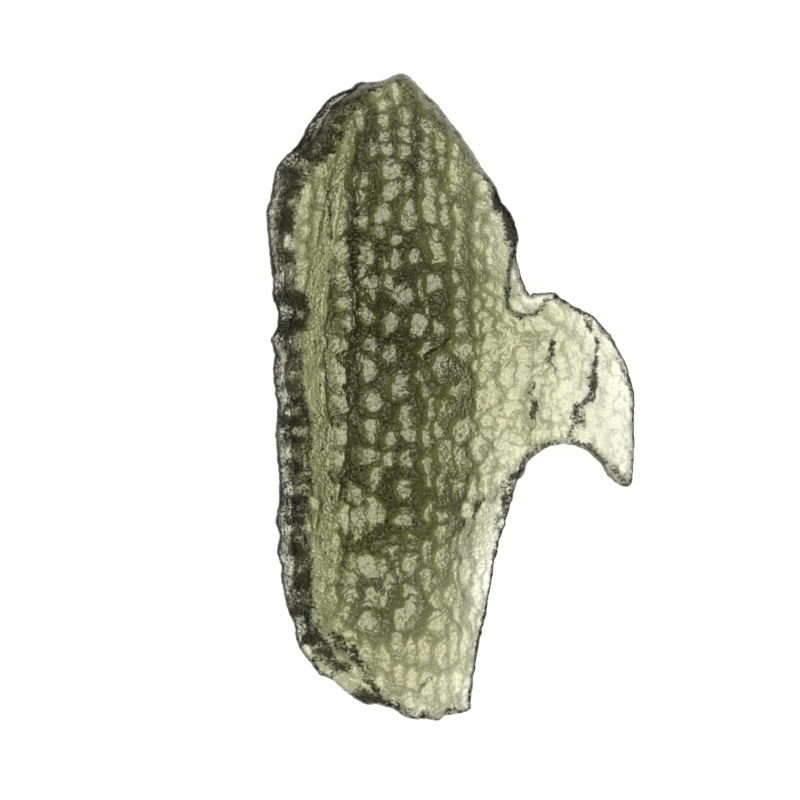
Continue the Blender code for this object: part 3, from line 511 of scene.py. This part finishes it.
def evenly_spaced(points, spacing):
    """Points along a closed smooth curve through the given ones, all about spacing apart."""
    points = np.array(points, float)
    t = np.linspace(0.0, 1.0, POINTS_PER_SPAN, endpoint=False)[:, None]
    before, after, beyond = np.roll(points, 1, 0), np.roll(points, -1, 0), np.roll(points, -2, 0)
    spans = []
    for p0, p1, p2, p3 in zip(before, points, after, beyond):
        spans.append(0.5 * (2 * p1 + (p2 - p0) * t + (2 * p0 - 5 * p1 + 4 * p2 - p3) * t ** 2
                            + (3 * p1 - p0 - 3 * p2 + p3) * t ** 3))
    curve = np.vstack(spans + [spans[0][:1]])
    travelled = np.concatenate([[0.0], np.cumsum(np.linalg.norm(np.diff(curve, axis=0), axis=1))])
    count = int(travelled[-1] / spacing)
    stops = np.linspace(0.0, travelled[-1], count, endpoint=False)
    return np.column_stack([np.interp(stops, travelled, values) for values in curve.T])


def plan_middle():
    """The middle of the solid's outline in the plan, which is at the origin."""
    outline = evenly_spaced(OUTLINE_PX, SOLID_SPACING_PX)
    return (outline.min(0) + outline.max(0)) / 2


def distance_to_line(px, py, line):
    """How far each place is from an open line, and how far along it the nearest point is, in segments."""
    nearest = np.full(px.shape, np.inf)
    along = np.zeros(px.shape)
    for number, ((ax, ay), (bx, by)) in enumerate(zip(line[:-1], line[1:])):
        length_squared = (bx - ax) ** 2 + (by - ay) ** 2
        t = np.clip(((px - ax) * (bx - ax) + (py - ay) * (by - ay)) / length_squared, 0.0, 1.0)
        distance = np.hypot(px - ax - t * (bx - ax), py - ay - t * (by - ay))
        closer = distance < nearest
        nearest = np.where(closer, distance, nearest)
        along = np.where(closer, number + t, along)
    return nearest, along


def inside(px, py, loop):
    """Which places lie inside a closed loop."""
    result = np.zeros(px.shape, bool)
    for (ax, ay), (bx, by) in zip(loop, np.roll(loop, -1, 0)):
        if ay != by:
            crosses = (ay > py) != (by > py)
            result ^= crosses & (px < (bx - ax) * (py - ay) / (by - ay) + ax)
    return result


def within(px, py, place, fade=PLACE_FADE):
    """1 in the middle of an oval place, 0 well away from it."""
    x, y, half_width, half_length = place
    return 1.0 - smooth_step(*fade, np.hypot((px - x) / half_width, (py - y) / half_length))


def on_line(px, py, line, half_width, fade=LINE_FADE):
    """1 on an open line, 0 well away from it."""
    distance, _ = distance_to_line(px, py, line)
    return 1.0 - smooth_step(*fade, distance / half_width)


def beyond_line(px, py, line, corners, fade):
    """1 beyond an open line, inside the loop that the corners make of it, and 0 on its other side."""
    distance, _ = distance_to_line(px, py, line)
    beyond = inside(px, py, np.array(line + corners, float))
    return smooth_step(-fade, fade, np.where(beyond, distance, -distance))


def thin_plate(places, heights):
    """A function for the smooth surface that passes through the given heights at the given places."""
    places = np.array(places, float) / STATION_SCALE_PX

    def bend(across, down):
        squared = across ** 2 + down ** 2
        return squared * np.log(squared + TINY)

    count = len(places)
    flat = np.column_stack([np.ones(count), places])
    matrix = np.zeros((count + 3, count + 3))
    matrix[:count, :count] = bend(places[:, :1] - places[:, 0], places[:, 1:] - places[:, 1])
    matrix[:count, count:] = flat
    matrix[count:, :count] = flat.T
    weights = np.linalg.solve(matrix, np.concatenate([heights, np.zeros(3)]))

    def surface(px, py):
        across, down = px / STATION_SCALE_PX, py / STATION_SCALE_PX
        height = weights[count] + weights[count + 1] * across + weights[count + 2] * down
        for (x, y), weight in zip(places, weights):
            height = height + weight * bend(across - x, down - y)
        return height

    return surface


CROWN = thin_plate([s[:2] for s in STATIONS], [s[2] for s in STATIONS])
UNDERSIDE = thin_plate([s[:2] for s in STATIONS], [s[3] for s in STATIONS])


def band_part(px, py):
    """1 on the smooth band along the left shoulder, 0 away from it."""
    distance, along = distance_to_line(px, py, [p[:2] for p in BAND])
    half_width = np.interp(along, range(len(BAND)), [p[2] for p in BAND])
    return 1.0 - smooth_step(0.0, BAND_FADE_PX, distance - half_width)


def smooth_part(px, py):
    """1 where the surface has no cups, 0 where it is fully sculptured."""
    smooth = band_part(px, py)
    for place in SMOOTH_PATCHES:
        smooth = np.maximum(smooth, within(px, py, place, (1.0 - PATCH_FADE, 1.0 + PATCH_FADE)))
    return smooth


def relief_part(px, py):
    """How deep the sculpture is at each place, as a part of its full depth."""
    total = np.zeros(px.shape)
    weight = np.zeros(px.shape)
    for x, y, part in RELIEF:
        near = np.exp(-((px - x) ** 2 + (py - y) ** 2) / (2 * RELIEF_REACH_PX ** 2)) + TINY
        total += near * part
        weight += near
    return total / weight


def flake_part(px, py):
    """1 on the hook's side of the ledge, 0 on the body's side."""
    return beyond_line(px, py, LEDGE_PX, FLAKE_CORNERS_PX, LEDGE_HALF_WIDTH_PX)


def furrow_depth(px, py):
    """How deep the narrow furrows and fissures are at each place."""
    px, py = bent_places(px, py)
    depth = np.zeros(px.shape)
    for line, half_width, full_depth in FURROWS:
        depth = np.maximum(depth, full_depth * on_line(px, py, line, half_width, (0.0, 1.0)))
    return depth


def upper_cups(rng):
    """Every cup of the upper side: place, half width, half length, depth and tilt of its floor."""
    cups = []
    for x, y, half_width, half_length in CUPS:
        cups.append((x, y, half_width, half_length, rng.uniform(*CUP_DEPTH_MM), rng.normal(0, CUP_TILT, 2)))
    for x, y, half_width, half_length, depth in PITS:
        cups.append((x, y, half_width, half_length, depth, (0.0, 0.0)))
    return scatter_cups(fill_with_columns(cups, rng), rng)


def fill_with_columns(cups, rng):
    """Adds cups in columns wherever the ones already there leave room."""
    cups = list(cups)
    for column in np.arange(*COLUMNS_PX, COLUMN_SPACING_PX):
        y = ROWS_PX[0] + rng.uniform(0, FIRST_ROW_JITTER_PX)
        while y < ROWS_PX[1]:
            half_width = rng.uniform(*CUP_HALF_WIDTH_PX)
            half_length = rng.uniform(*CUP_HALF_LENGTH_PX)
            y += half_length
            x = column + rng.uniform(-COLUMN_JITTER_PX, COLUMN_JITTER_PX)
            depth = rng.uniform(*CUP_DEPTH_MM)
            tilt = rng.normal(0, CUP_TILT, 2)
            free = all(abs(x - c[0]) > half_width + c[2] + CUP_CLEARANCE_PX
                       or abs(y - c[1]) > half_length + c[3] + CUP_CLEARANCE_PX for c in cups)
            if free:
                cups.append((x, y, half_width, half_length, depth, tilt))
            y += half_length + rng.uniform(*CUP_GAP_PX)
    return cups


def scatter_cups(cups, rng):
    """Adds small cups in uneven rows on the thin part of the stone, wherever there is room."""
    cups = list(cups)
    across, down = SCATTER_SPACING_PX
    for number, row in enumerate(np.arange(*ROWS_PX, down)):
        for x in np.arange(*SCATTER_PX, across) + across / 2 * (number % 2):
            x += rng.uniform(-SCATTER_JITTER_PX, SCATTER_JITTER_PX)
            y = row + rng.uniform(-SCATTER_JITTER_PX, SCATTER_JITTER_PX)
            half_width, half_length = rng.uniform(*SCATTERED_HALF_PX, 2)
            depth = rng.uniform(*CUP_DEPTH_MM)
            tilt = rng.normal(0, CUP_TILT, 2)
            if all(abs(x - c[0]) > half_width + c[2] or abs(y - c[1]) > half_length + c[3] for c in cups):
                cups.append((x, y, half_width, half_length, depth, tilt))
    return cups


def bent_places(px, py):
    """The places pushed about a little, so that forms laid out on them become irregular."""
    across, down = px, py
    for number, (reach_across, reach_down, size) in enumerate(WARPS_PX):
        across = across + reach_across * value_noise(px, py, size, 2 + 2 * number)
        down = down + reach_down * value_noise(px, py, size, 3 + 2 * number)
    return across, down


def carve(px, py, base, cups):
    """How deep the cups cut into a surface of the given height. A floor is nearly level even where the
    surface slopes, and the walls rise from it until they meet in a sharp ridge."""
    px, py = bent_places(px, py)
    px = px + WAVE_PX * value_noise(px, py, WAVE_SIZE_PX, 40)
    py = py + WAVE_PX * value_noise(px, py, WAVE_SIZE_PX, 41)
    depth = np.full(px.shape, -RIDGE_RISE_MM)
    for x, y, half_width, half_length, full_depth, tilt in cups:
        half_width = half_width - FLOOR_TRIM_PX
        reach = max(half_width, half_length) + WALL_REACH_PX
        near = np.flatnonzero((np.abs(px - x) < reach) & (np.abs(py - y) < reach))
        if not len(near):
            continue
        u = px[near] - x
        v = py[near] - y
        shape = (np.abs(u) / half_width) ** SQUARENESS + (np.abs(v) / half_length) ** SQUARENESS
        shape = shape ** (1 / SQUARENESS) + TINY
        outside = np.maximum(np.hypot(u, v) * (1.0 - 1.0 / shape), 0.0) * MM_PER_PX
        above_middle = base[near] - base[near[np.argmin(u ** 2 + v ** 2)]]
        levelling = LEVELLING * np.clip(above_middle, -full_depth, full_depth)
        levelling = levelling * (1.0 - smooth_step(0.0, LEVELLED_MM, outside))
        floor = full_depth + levelling + (tilt[0] * u + tilt[1] * v) * MM_PER_PX
        depth[near] = np.maximum(depth[near], floor - CUP_WALL_SLOPE * outside)
    return depth


def dimple(px, py, cups):
    """How deep soft round dimples are at each place."""
    px, py = bent_places(px, py)
    depth = np.zeros(px.shape)
    for x, y, half_width, half_length, full_depth, _ in cups:
        shape = np.hypot((px - x) / (DIMPLE_SPREAD * half_width), (py - y) / (DIMPLE_SPREAD * half_length))
        depth = np.maximum(depth, full_depth * (1.0 - smooth_step(0.0, 1.0, shape)))
    return depth


def by_side(px, py, values):
    """A measure that differs between the left side, the body and the hook."""
    left = smooth_step(*LEFT_SIDE_PX, px) * smooth_step(*LEFT_END_PX, py)
    hook = smooth_step(*HOOK_SIDE_PX, px)
    body = values["body"] * (1 - left) + values["left"] * left
    return body * (1 - hook) + values["hook"] * hook


def calm_part(px, py, in_from_rim):
    """0 along the rim, where there are no cups, and 1 farther in."""
    return smooth_step(by_side(px, py, CALM_START_MM), by_side(px, py, CALM_END_MM), in_from_rim)


def side_height(px, py, in_from_rim):
    """How high the stone's side stands above the rim, by the distance in from the outline."""
    fluted = smooth_step(*FLUTED_SIDE_PX, px) * smooth_step(*FLUTE_START_MM, in_from_rim)
    for y, half_width, depth in FLUTES:
        in_from_rim = in_from_rim - fluted * depth * np.exp(-((py - y) / half_width) ** 2)
    lip_width = by_side(px, py, LIP_WIDTH_MM)
    t = np.clip(in_from_rim / by_side(px, py, FOOT_WIDTH_MM), 0.0, 1.0)
    foot = by_side(px, py, FOOT_HEIGHT_MM) * np.sqrt(1.0 - (1.0 - t) ** 2)
    lip = LIP_SLOPE * np.minimum(in_from_rim, lip_width)
    return foot + lip + by_side(px, py, WALL_SLOPE) * np.maximum(in_from_rim - lip_width, 0.0)


def grains(px, py):
    """Small bumps and hollows all over the upper side."""
    height = np.zeros(px.shape)
    for number, (depth, size) in enumerate(GRAINS):
        height += depth * value_noise(px, py, size, 10 + number)
    return height


def upper_surface(px, py, in_from_rim):
    """The height of the upper side at each place, and how deep the cups are there."""
    crown = CROWN(px, py) + LUMP_MM * value_noise(px, py, LUMP_SIZE_PX, 0)
    underside = UNDERSIDE(px, py)
    rim = underside + by_side(px, py, RIM_LEVEL) * (crown - underside) + RIM_HALF_THICKNESS_MM
    crown = crown - LEDGE_DROP_MM * flake_part(px, py)
    crown = np.maximum(crown, rim + LEAST_CROWN_OVER_RIM_MM)
    calm = calm_part(px, py, in_from_rim)
    height = rim + smooth_lower(crown - rim, side_height(px, py, in_from_rim), SHOULDER_ROUNDING_MM)
    cups = carve(px, py, height, upper_cups(np.random.default_rng(SEED)))
    relief = cups * relief_part(px, py) * (1.0 - smooth_part(px, py))
    height = height - (relief + furrow_depth(px, py)) * calm
    grained = smooth_step(0.0, CALM_GRAIN_MM, in_from_rim) * (1.0 - BAND_CALM * band_part(px, py))
    height = height + grains(px, py) * grained
    from_bite = np.hypot(px - BITE_PX[0], py - BITE_PX[1]) / BITE_RADIUS_PX
    bite = BITE_FLOOR_MM + BITE_WALL_MM * from_bite ** BITE_POWER + BITE_GRAIN * grains(px, py)
    height = smooth_lower(height, np.maximum(bite, rim), SHOULDER_ROUNDING_MM)
    return np.where(in_from_rim > 0, np.maximum(height, rim), rim), cups


def lower_surface(px, py, in_from_rim):
    """The height of the underside at each place."""
    crown = CROWN(px, py)
    underside = UNDERSIDE(px, py)
    rim = underside + by_side(px, py, RIM_LEVEL) * (crown - underside) - RIM_HALF_THICKNESS_MM
    t = np.clip(in_from_rim / by_side(px, py, UNDERCUT_WIDTH_MM), 0.0, 1.0)
    roundness = by_side(px, py, UNDERCUT_ROUNDNESS)
    undercut = roundness * np.sqrt(1.0 - (1.0 - t) ** 2) + (1.0 - roundness) * t
    height = rim - (rim - underside) * undercut
    calm = smooth_step(0.0, FLAT_SPOT_CALM_MM, height) * calm_part(px, py, in_from_rim)
    calm = calm * smooth_step(*DIMPLED_PX, px)
    height += dimple(px, py, fill_with_columns([], np.random.default_rng(SEED + 1))) * UNDERSIDE_RELIEF * calm
    return np.maximum(height, 0.0)


def notched(outline):
    """The outline with small notches and teeth along it."""
    along = np.roll(outline, -1, 0) - np.roll(outline, 1, 0)
    outward = np.column_stack([along[:, 1], -along[:, 0]]) / np.linalg.norm(along, axis=1)[:, None]
    moved = outline.copy()
    for number, (reach, size) in enumerate(RIM_NOTCHES):
        moved += outward * (reach * value_noise(outline[:, 0], outline[:, 1], size, 20 + number))[:, None]
    return moved


def net(outline, spacing):
    """A net of triangles inside the outline: its points, how far in from the rim they are, and its faces."""
    rows = []
    low, high = outline.min(0), outline.max(0)
    for number, y in enumerate(np.arange(low[1], high[1], spacing * 3 ** 0.5 / 2)):
        x = np.arange(low[0] + spacing / 2 * (number % 2), high[0], spacing)
        rows.append(np.column_stack([x, np.full(len(x), y)]))
    points = np.vstack(rows)
    points = points[inside(points[:, 0], points[:, 1], outline)]
    loop = np.vstack([outline, outline[:1]])
    distance, _ = distance_to_line(points[:, 0], points[:, 1], loop)
    kept = distance > RIM_MARGIN * spacing
    rim_count = len(outline)
    edges = [(i, (i + 1) % rim_count) for i in range(rim_count)]
    points, _, faces, *_ = delaunay_2d_cdt(np.vstack([outline, points[kept]]).tolist(), edges, [], 1, TINY)
    plan = np.array([tuple(p) for p in points])
    return plan, np.concatenate([np.zeros(rim_count), distance[kept]]) * MM_PER_PX, faces


def side_part(px, py):
    """1 on the thick left side, 0 on the rest of the stone."""
    return beyond_line(px, py, SIDE_BORDER_PX, SIDE_CORNERS_PX, SIDE_FADE_PX)


def side_painted_shade(px, py):
    """How dark the painted shade on the thick left side is: darkest in its flutes, lighter on the lumps
    between them.
    """
    rib = np.zeros(px.shape)
    for y, half_width, _ in FLUTES:
        rib = np.maximum(rib, np.exp(-((py - y) / half_width) ** 2))
    patches = SIDE_PATCHES * value_noise(px, py, SIDE_PATCH_PX, 30)
    return SIDE_PAINTED_SHADE * np.clip(1.0 - SIDE_RIB_PART * (1.0 - rib) + patches, 0.0, 1.0)


def light_part(px, py):
    """How much light the painted shade leaves at the least on the light lumps, 0 away from them."""
    px, py = bent_places(px, py)
    light = np.zeros(px.shape)
    for *place, least in LIGHT_PLACES:
        light = np.maximum(light, least * within(px, py, place))
    return light


def ridge_part(px, py):
    """1 on the lines round the pits that take the gaps' painted shade, 0 away from them."""
    px, py = bent_places(px, py)
    ridge = np.zeros(px.shape)
    for line, half_width in RIDGE_LINES:
        ridge = np.maximum(ridge, on_line(px, py, line, half_width))
    return ridge


def light_left(px, py, lines, places, whole=1.0):
    """How much light lines and places of painted shade leave. The lines are only as dark as they are whole.
    """
    light = np.ones(px.shape)
    for line, half_width, painted_dark in lines:
        light *= 1.0 - painted_dark * whole * on_line(px, py, line, half_width)
    for *place, painted_dark in places:
        light *= 1.0 - painted_dark * within(px, py, place)
    return light


def painted_darkness(px, py):
    """How dark the painted shade is at each place of the upper side."""
    bent_x, bent_y = bent_places(px, py)
    whole = 1.0 - LINE_BREAKS * smooth_step(*BREAK_LEVELS, value_noise(px, py, BREAK_PX, 32))
    light = light_left(bent_x, bent_y, PAINTED_SHADE_LINES, PAINTED_BLACK_PLACES, whole)
    streaks = value_noise(px, py, STREAK_PX, 33)
    light *= 1.0 - BAND_STREAKS * np.clip(streaks, 0.0, 1.0) * band_part(px, py)
    # Painted shade over the thick left side.
    light *= 1.0 - side_painted_shade(bent_x, bent_y) * side_part(bent_x, bent_y)
    return 1.0 - np.maximum(light, light_part(px, py)) ** 2


def shade(px, py):
    """How much painted shade there is at each place: less light than elsewhere, painted into the colour of
    the glass.
    """
    px, py = bent_places(px, py)
    return 1.0 - light_left(px, py, SHADED_LINES, SHADED_PLACES) ** 2


def facet_part(py, in_from_rim):
    """1 on the smooth outermost facets of the left side, 0 away from them."""
    facet = np.zeros(py.shape)
    for y, half_length, width_part in FACETS_PX:
        width = width_part * (1.0 - smooth_step(*FACET_FADE, np.abs(py - y) / half_length))
        reach = in_from_rim - (width - 1.0) * FACET_MM[1]
        facet = np.maximum(facet, smooth_step(*FACET_MM, reach) * (width > 0))
    return facet


def finish(px, py, in_from_rim, cups):
    """What the glass is like at each place of the upper side, and how much painted shade it has there, each
    quality from 0 to 1.
    """
    cups = cups + FROST_NOISE_MM * value_noise(px, py, FROST_NOISE_PX, 31)
    # Along the ridge lines the gaps' painted shade takes the place of the frosted cups.
    cups = cups * (1.0 - ridge_part(px, py))
    # How dark the painted shade is at each place.
    painted_dark = painted_darkness(px, py)
    lump = light_part(px, py)
    facet = side_part(px, py) * facet_part(py, in_from_rim)
    polish = np.maximum(facet, lump)
    smooth = smooth_part(px, py)
    frost = smooth_step(*FROST_DEPTH_MM, cups) * (1.0 - smooth)
    gap = (1.0 - frost) * (1.0 - smooth)
    left = smooth_step(*GRAINED_PX, px)
    relief = relief_part(px, py) ** 2 * (1.0 - LEFT_CALM * left)

    grain = FLOOR_GRAIN * mix(LEAST_FLOOR_GRAIN, 1.0, relief) + LEFT_FLOOR_GRAIN * left
    grain = mix(grain, GAP_GRAIN, gap * relief)
    grain = mix(grain, BAND_GRAIN, smooth)
    grain = mix(grain, DARK_GRAIN, smooth_step(*DARK_GRAIN_START, painted_dark) * mix(1.0, DARK_FLOOR_PART, frost))
    grain = mix(grain * (1.0 - LUMP_CALM * lump), FACET_GRAIN, facet)
    rim_face = np.maximum(smooth_step(*LEFT_SIDE_PX, px), smooth_step(*TOP_FACE_PX, py))
    grain = mix(grain, RIM_GRAIN, rim_face * smooth_step(*RIM_FACE_MM, in_from_rim))

    # Painted shade in the creases between the fine cups.
    crease_shade = mix(GAP_CREASE_SHADE, FLOOR_CREASE_SHADE, frost) * mix(LEAST_CREASE_SHADE, 1.0, relief)
    # Painted shade in the gaps between the cups.
    gap_painted_shade = GAP_PAINTED_SHADE * smooth_step(*GAP_DEPTH_MM, cups) * (1.0 - smooth)
    gap_light = 1.0 - gap_painted_shade * mix(LEAST_GAP_PAINTED_SHADE, 1.0, relief)
    return {
        "painted_darkness": painted_dark,
        "shade": shade(px, py),
        "gap": (1.0 - gap_light ** 2) * (1.0 - polish),
        "frost": frost,
        "grain": grain,
        "crease_shade": crease_shade * (1.0 - polish),
        "polish": polish,
    }


def stone_mesh():
    """The closed mesh of the stone, with what the glass is like and its painted shade kept at each point."""
    middle = plan_middle()
    outline = notched(evenly_spaced(OUTLINE_PX, UPPER_SPACING_PX))
    upper_plan, upper_in, upper_faces = net(outline, UPPER_SPACING_PX)
    lower_plan, lower_in, lower_faces = net(outline, LOWER_SPACING_PX)
    upper, cups = upper_surface(upper_plan[:, 0], upper_plan[:, 1], upper_in)
    lower = lower_surface(lower_plan[:, 0], lower_plan[:, 1], lower_in)
    count = len(upper_plan)
    plan = np.vstack([upper_plan, lower_plan])
    x = (plan[:, 0] - middle[0]) * MM_PER_PX
    y = (middle[1] - plan[:, 1]) * MM_PER_PX
    vertices = np.column_stack([x, y, np.concatenate([upper, lower])]) * METRES_PER_MM
    # Down the plan is minus Y, so a loop that turns one way in the plan turns the other way in space.
    triangles = [tuple(reversed(face)) for face in upper_faces]
    triangles += [tuple(i + count for i in face) for face in lower_faces]
    for i in range(len(outline)):
        j = (i + 1) % len(outline)
        triangles += [(i, j, j + count), (i, j + count, i + count)]
    mesh = bpy.data.meshes.new("moldavite_glass_surface")
    mesh.from_pydata(vertices.tolist(), [], triangles)
    mesh.validate()
    mesh.shade_smooth()
    for name, values in finish(upper_plan[:, 0], upper_plan[:, 1], upper_in, cups).items():
        values = np.concatenate([values, np.zeros(len(lower_plan))])
        mesh.attributes.new(name, "FLOAT", "POINT").data.foreach_set("value", values)
    return mesh


def read(tree, name):
    """The output of a node that reads a value kept in the mesh."""
    node = tree.nodes.new("ShaderNodeAttribute")
    node.attribute_name = name
    return node.outputs["Fac"]


def between(tree, value, *limits):
    """A value moved from one range to another, and kept within it."""
    node = tree.nodes.new("ShaderNodeMapRange")
    for name, limit in zip(("From Min", "From Max", "To Min", "To Max"), limits):
        node.inputs[name].default_value = limit
    tree.links.new(value, node.inputs["Value"])
    return node.outputs["Result"]


def sums(tree, operation, first, second):
    """One sum with two values, each a socket or a number."""
    node = tree.nodes.new("ShaderNodeMath")
    node.operation = operation
    for socket, value in zip(node.inputs, (first, second)):
        if isinstance(value, (int, float)):
            socket.default_value = value
        else:
            tree.links.new(value, socket)
    return node.outputs["Value"]


def noise(tree, places, size_m):
    """Noise from 0 to 1 with grains of the given size."""
    node = tree.nodes.new("ShaderNodeTexNoise")
    node.inputs["Scale"].default_value = 1.0 / size_m
    node.inputs["Detail"].default_value = NOISE_DETAIL
    tree.links.new(places, node.inputs["Vector"])
    return node.outputs["Fac"]


def cells(tree, places, size_m):
    """How far each place is from the middle of its cell."""
    node = tree.nodes.new("ShaderNodeTexVoronoi")
    node.inputs["Scale"].default_value = 1.0 / size_m
    tree.links.new(places, node.inputs["Vector"])
    return node.outputs["Distance"]


def glass_material():
    """Olive green glass: clear inside, cupped and grained on the surface, with painted shade in its creases,
    gaps and dark places, which darkens its colour and its shine.
    """
    material = bpy.data.materials.new("moldavite_glass")
    material.use_nodes = True
    tree = material.node_tree
    shader = tree.nodes["Principled BSDF"]
    shader.inputs["IOR"].default_value = GLASS_IOR
    shader.inputs["Transmission Weight"].default_value = 1.0
    absorption = tree.nodes.new("ShaderNodeVolumeAbsorption")
    passed = [1.0 - taken / METRES_PER_MM / VOLUME_DENSITY for taken in GLASS_TAKES_PER_MM]
    absorption.inputs["Color"].default_value = (*passed, 1.0)
    absorption.inputs["Density"].default_value = VOLUME_DENSITY
    tree.links.new(absorption.outputs["Volume"], tree.nodes["Material Output"].inputs["Volume"])

    def times(first, second):
        return sums(tree, "MULTIPLY", first, second)

    def rest(value):
        return sums(tree, "SUBTRACT", 1.0, value)

    places = tree.nodes.new("ShaderNodeTexCoord").outputs["Object"]
    # The painted shade kept in the mesh darkens the colour of the glass. It is broken up by speckles where it
    # is half dark.
    painted_dark = read(tree, "painted_darkness")
    speckle = noise(tree, places, SPECKLE_M)
    uneven = between(tree, speckle, *SPECKLE_LEVELS, -SPECKLE_STRENGTH, SPECKLE_STRENGTH)
    half_dark = times(times(painted_dark, rest(painted_dark)), HALF_DARK_GAIN)
    clear = rest(sums(tree, "ADD", painted_dark, times(uneven, half_dark)))
    fine_cup = cells(tree, places, FINE_CUP_M)
    # Painted shade in the creases between the fine cups.
    crease_shade = times(between(tree, fine_cup, *CREASE_START, 0.0, 1.0), read(tree, "crease_shade"))
    # Painted shade in the gaps, broken up by speckles.
    gap = times(read(tree, "gap"), between(tree, speckle, *SPECKLE_LEVELS, *GAP_SPECKLE))
    crease_light = rest(sums(tree, "MAXIMUM", crease_shade, gap))
    # The painted soft shade darkens only the colour, not the shine.
    light = times(times(clear, rest(read(tree, "shade"))), crease_light)
    # The painted shade dims the shine too, through the specular tint, except on the polished facets and
    # lumps.
    shine = times(sums(tree, "MAXIMUM", clear, read(tree, "polish")), crease_light)
    colour = tree.nodes.new("ShaderNodeMix")
    colour.data_type = "RGBA"
    colour.inputs["A"].default_value = PAINTED_SHADE_COLOUR
    colour.inputs["B"].default_value = CLEAR_COLOUR
    tree.links.new(light, colour.inputs["Factor"])
    tree.links.new(colour.outputs["Result"], shader.inputs["Base Color"])
    tree.links.new(between(tree, shine, 0.0, 1.0, SHINE_IN_PAINTED_SHADE, 1.0), shader.inputs["Specular Tint"])

    roughness = between(tree, read(tree, "frost"), 0.0, 1.0, GLASS_SMOOTH, GLASS_FROSTED)
    tree.links.new(roughness, shader.inputs["Roughness"])
    fine = sums(tree, "POWER", fine_cup, CUP_POWER)
    coarse = sums(tree, "POWER", cells(tree, places, COARSE_CUP_M), CUP_POWER)
    fine = sums(tree, "ADD", fine, times(coarse, COARSE_CUP_PART))
    fine = sums(tree, "ADD", fine, times(noise(tree, places, FINE_NOISE_M), FINE_NOISE_PART))
    bump = tree.nodes.new("ShaderNodeBump")
    bump.inputs["Distance"].default_value = FINE_CUP_DEPTH_M
    tree.links.new(read(tree, "grain"), bump.inputs["Strength"])
    tree.links.new(fine, bump.inputs["Height"])
    tree.links.new(bump.outputs["Normal"], shader.inputs["Normal"])
    return material


def floor_material():
    """The white ground, which glows as a light table does and takes soft shadows."""
    material = bpy.data.materials.new("white_ground")
    material.use_nodes = True
    shader = material.node_tree.nodes["Principled BSDF"]
    values = {"Base Color": FLOOR_COLOUR, "Roughness": FLOOR_ROUGHNESS, "Specular IOR Level": 0.0,
              "Emission Color": CLEAR_COLOUR, "Emission Strength": FLOOR_GLOW}
    for name, value in values.items():
        shader.inputs[name].default_value = value
    return material


def add_object(name, data):
    """A new object in the scene."""
    thing = bpy.data.objects.new(name, data)
    bpy.context.scene.collection.objects.link(thing)
    return thing


def make_stone():
    """The piece that stands for the solid."""
    stone = add_object("moldavite_surface", stone_mesh())
    stone.data.materials.append(glass_material())
    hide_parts(NODE)
    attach(stone, "root")


def make_floor():
    """A plain ground, level with the lowest point of the stone."""
    level = CAD_BOX[0].z
    reach = FLOOR_HALF_M
    corners = [(-reach, -reach, level), (reach, -reach, level), (reach, reach, level), (-reach, reach, level)]
    mesh = bpy.data.meshes.new("floor")
    mesh.from_pydata(corners, [], [(0, 1, 2, 3)])
    mesh.materials.append(floor_material())
    floor = add_object("floor", mesh)


def make_lights():
    """One broad soft light straight above, and a faint even light from all round."""
    world = bpy.data.worlds.new("studio")
    world.use_nodes = True
    tree = world.node_tree
    background = tree.nodes["Background"]
    background.inputs["Color"].default_value = CLEAR_COLOUR
    ray = tree.nodes.new("ShaderNodeLightPath")
    seen = between(tree, ray.outputs["Is Camera Ray"], 0.0, 1.0, ROOM_LIGHT, BACKDROP_LIGHT)
    tree.links.new(seen, background.inputs["Strength"])
    bpy.context.scene.world = world

    radius = LAMP_HEIGHT_M * math.tan(math.radians(LAMP_HALF_ANGLE_DEG))
    lamp = bpy.data.lights.new("overhead_softbox", "AREA")
    lamp.shape = "DISK"
    lamp.size = 2 * radius
    lamp.energy = LAMP_RADIANCE * math.pi ** 2 * radius ** 2
    lamp.color = LAMP_COLOUR
    add_object("overhead_softbox", lamp).location = (0.0, 0.0, LAMP_HEIGHT_M)


def make_camera():
    """A camera straight above. The stone stands as far right of the view's middle as it does in the plan."""
    lens = bpy.data.cameras.new("camera")
    lens.lens = LENS_MM
    lens.sensor_width = SENSOR_MM
    metres_per_px = MM_PER_PX * METRES_PER_MM
    middle = plan_middle()
    x = (FRAME_PX / 2 - middle[0]) * metres_per_px
    y = (middle[1] - FRAME_PX / 2) * metres_per_px
    away = FRAME_PX * metres_per_px * LENS_MM / SENSOR_MM
    camera = add_object("camera", lens)
    camera.location = (x, y, away + RIM_HEIGHT_M)
    bpy.context.scene.camera = camera


def main():
    """Builds the scene."""
    bpy.context.scene.view_settings.view_transform = "Standard"
    make_camera()
    make_lights()
    make_floor()
    make_stone()


main()
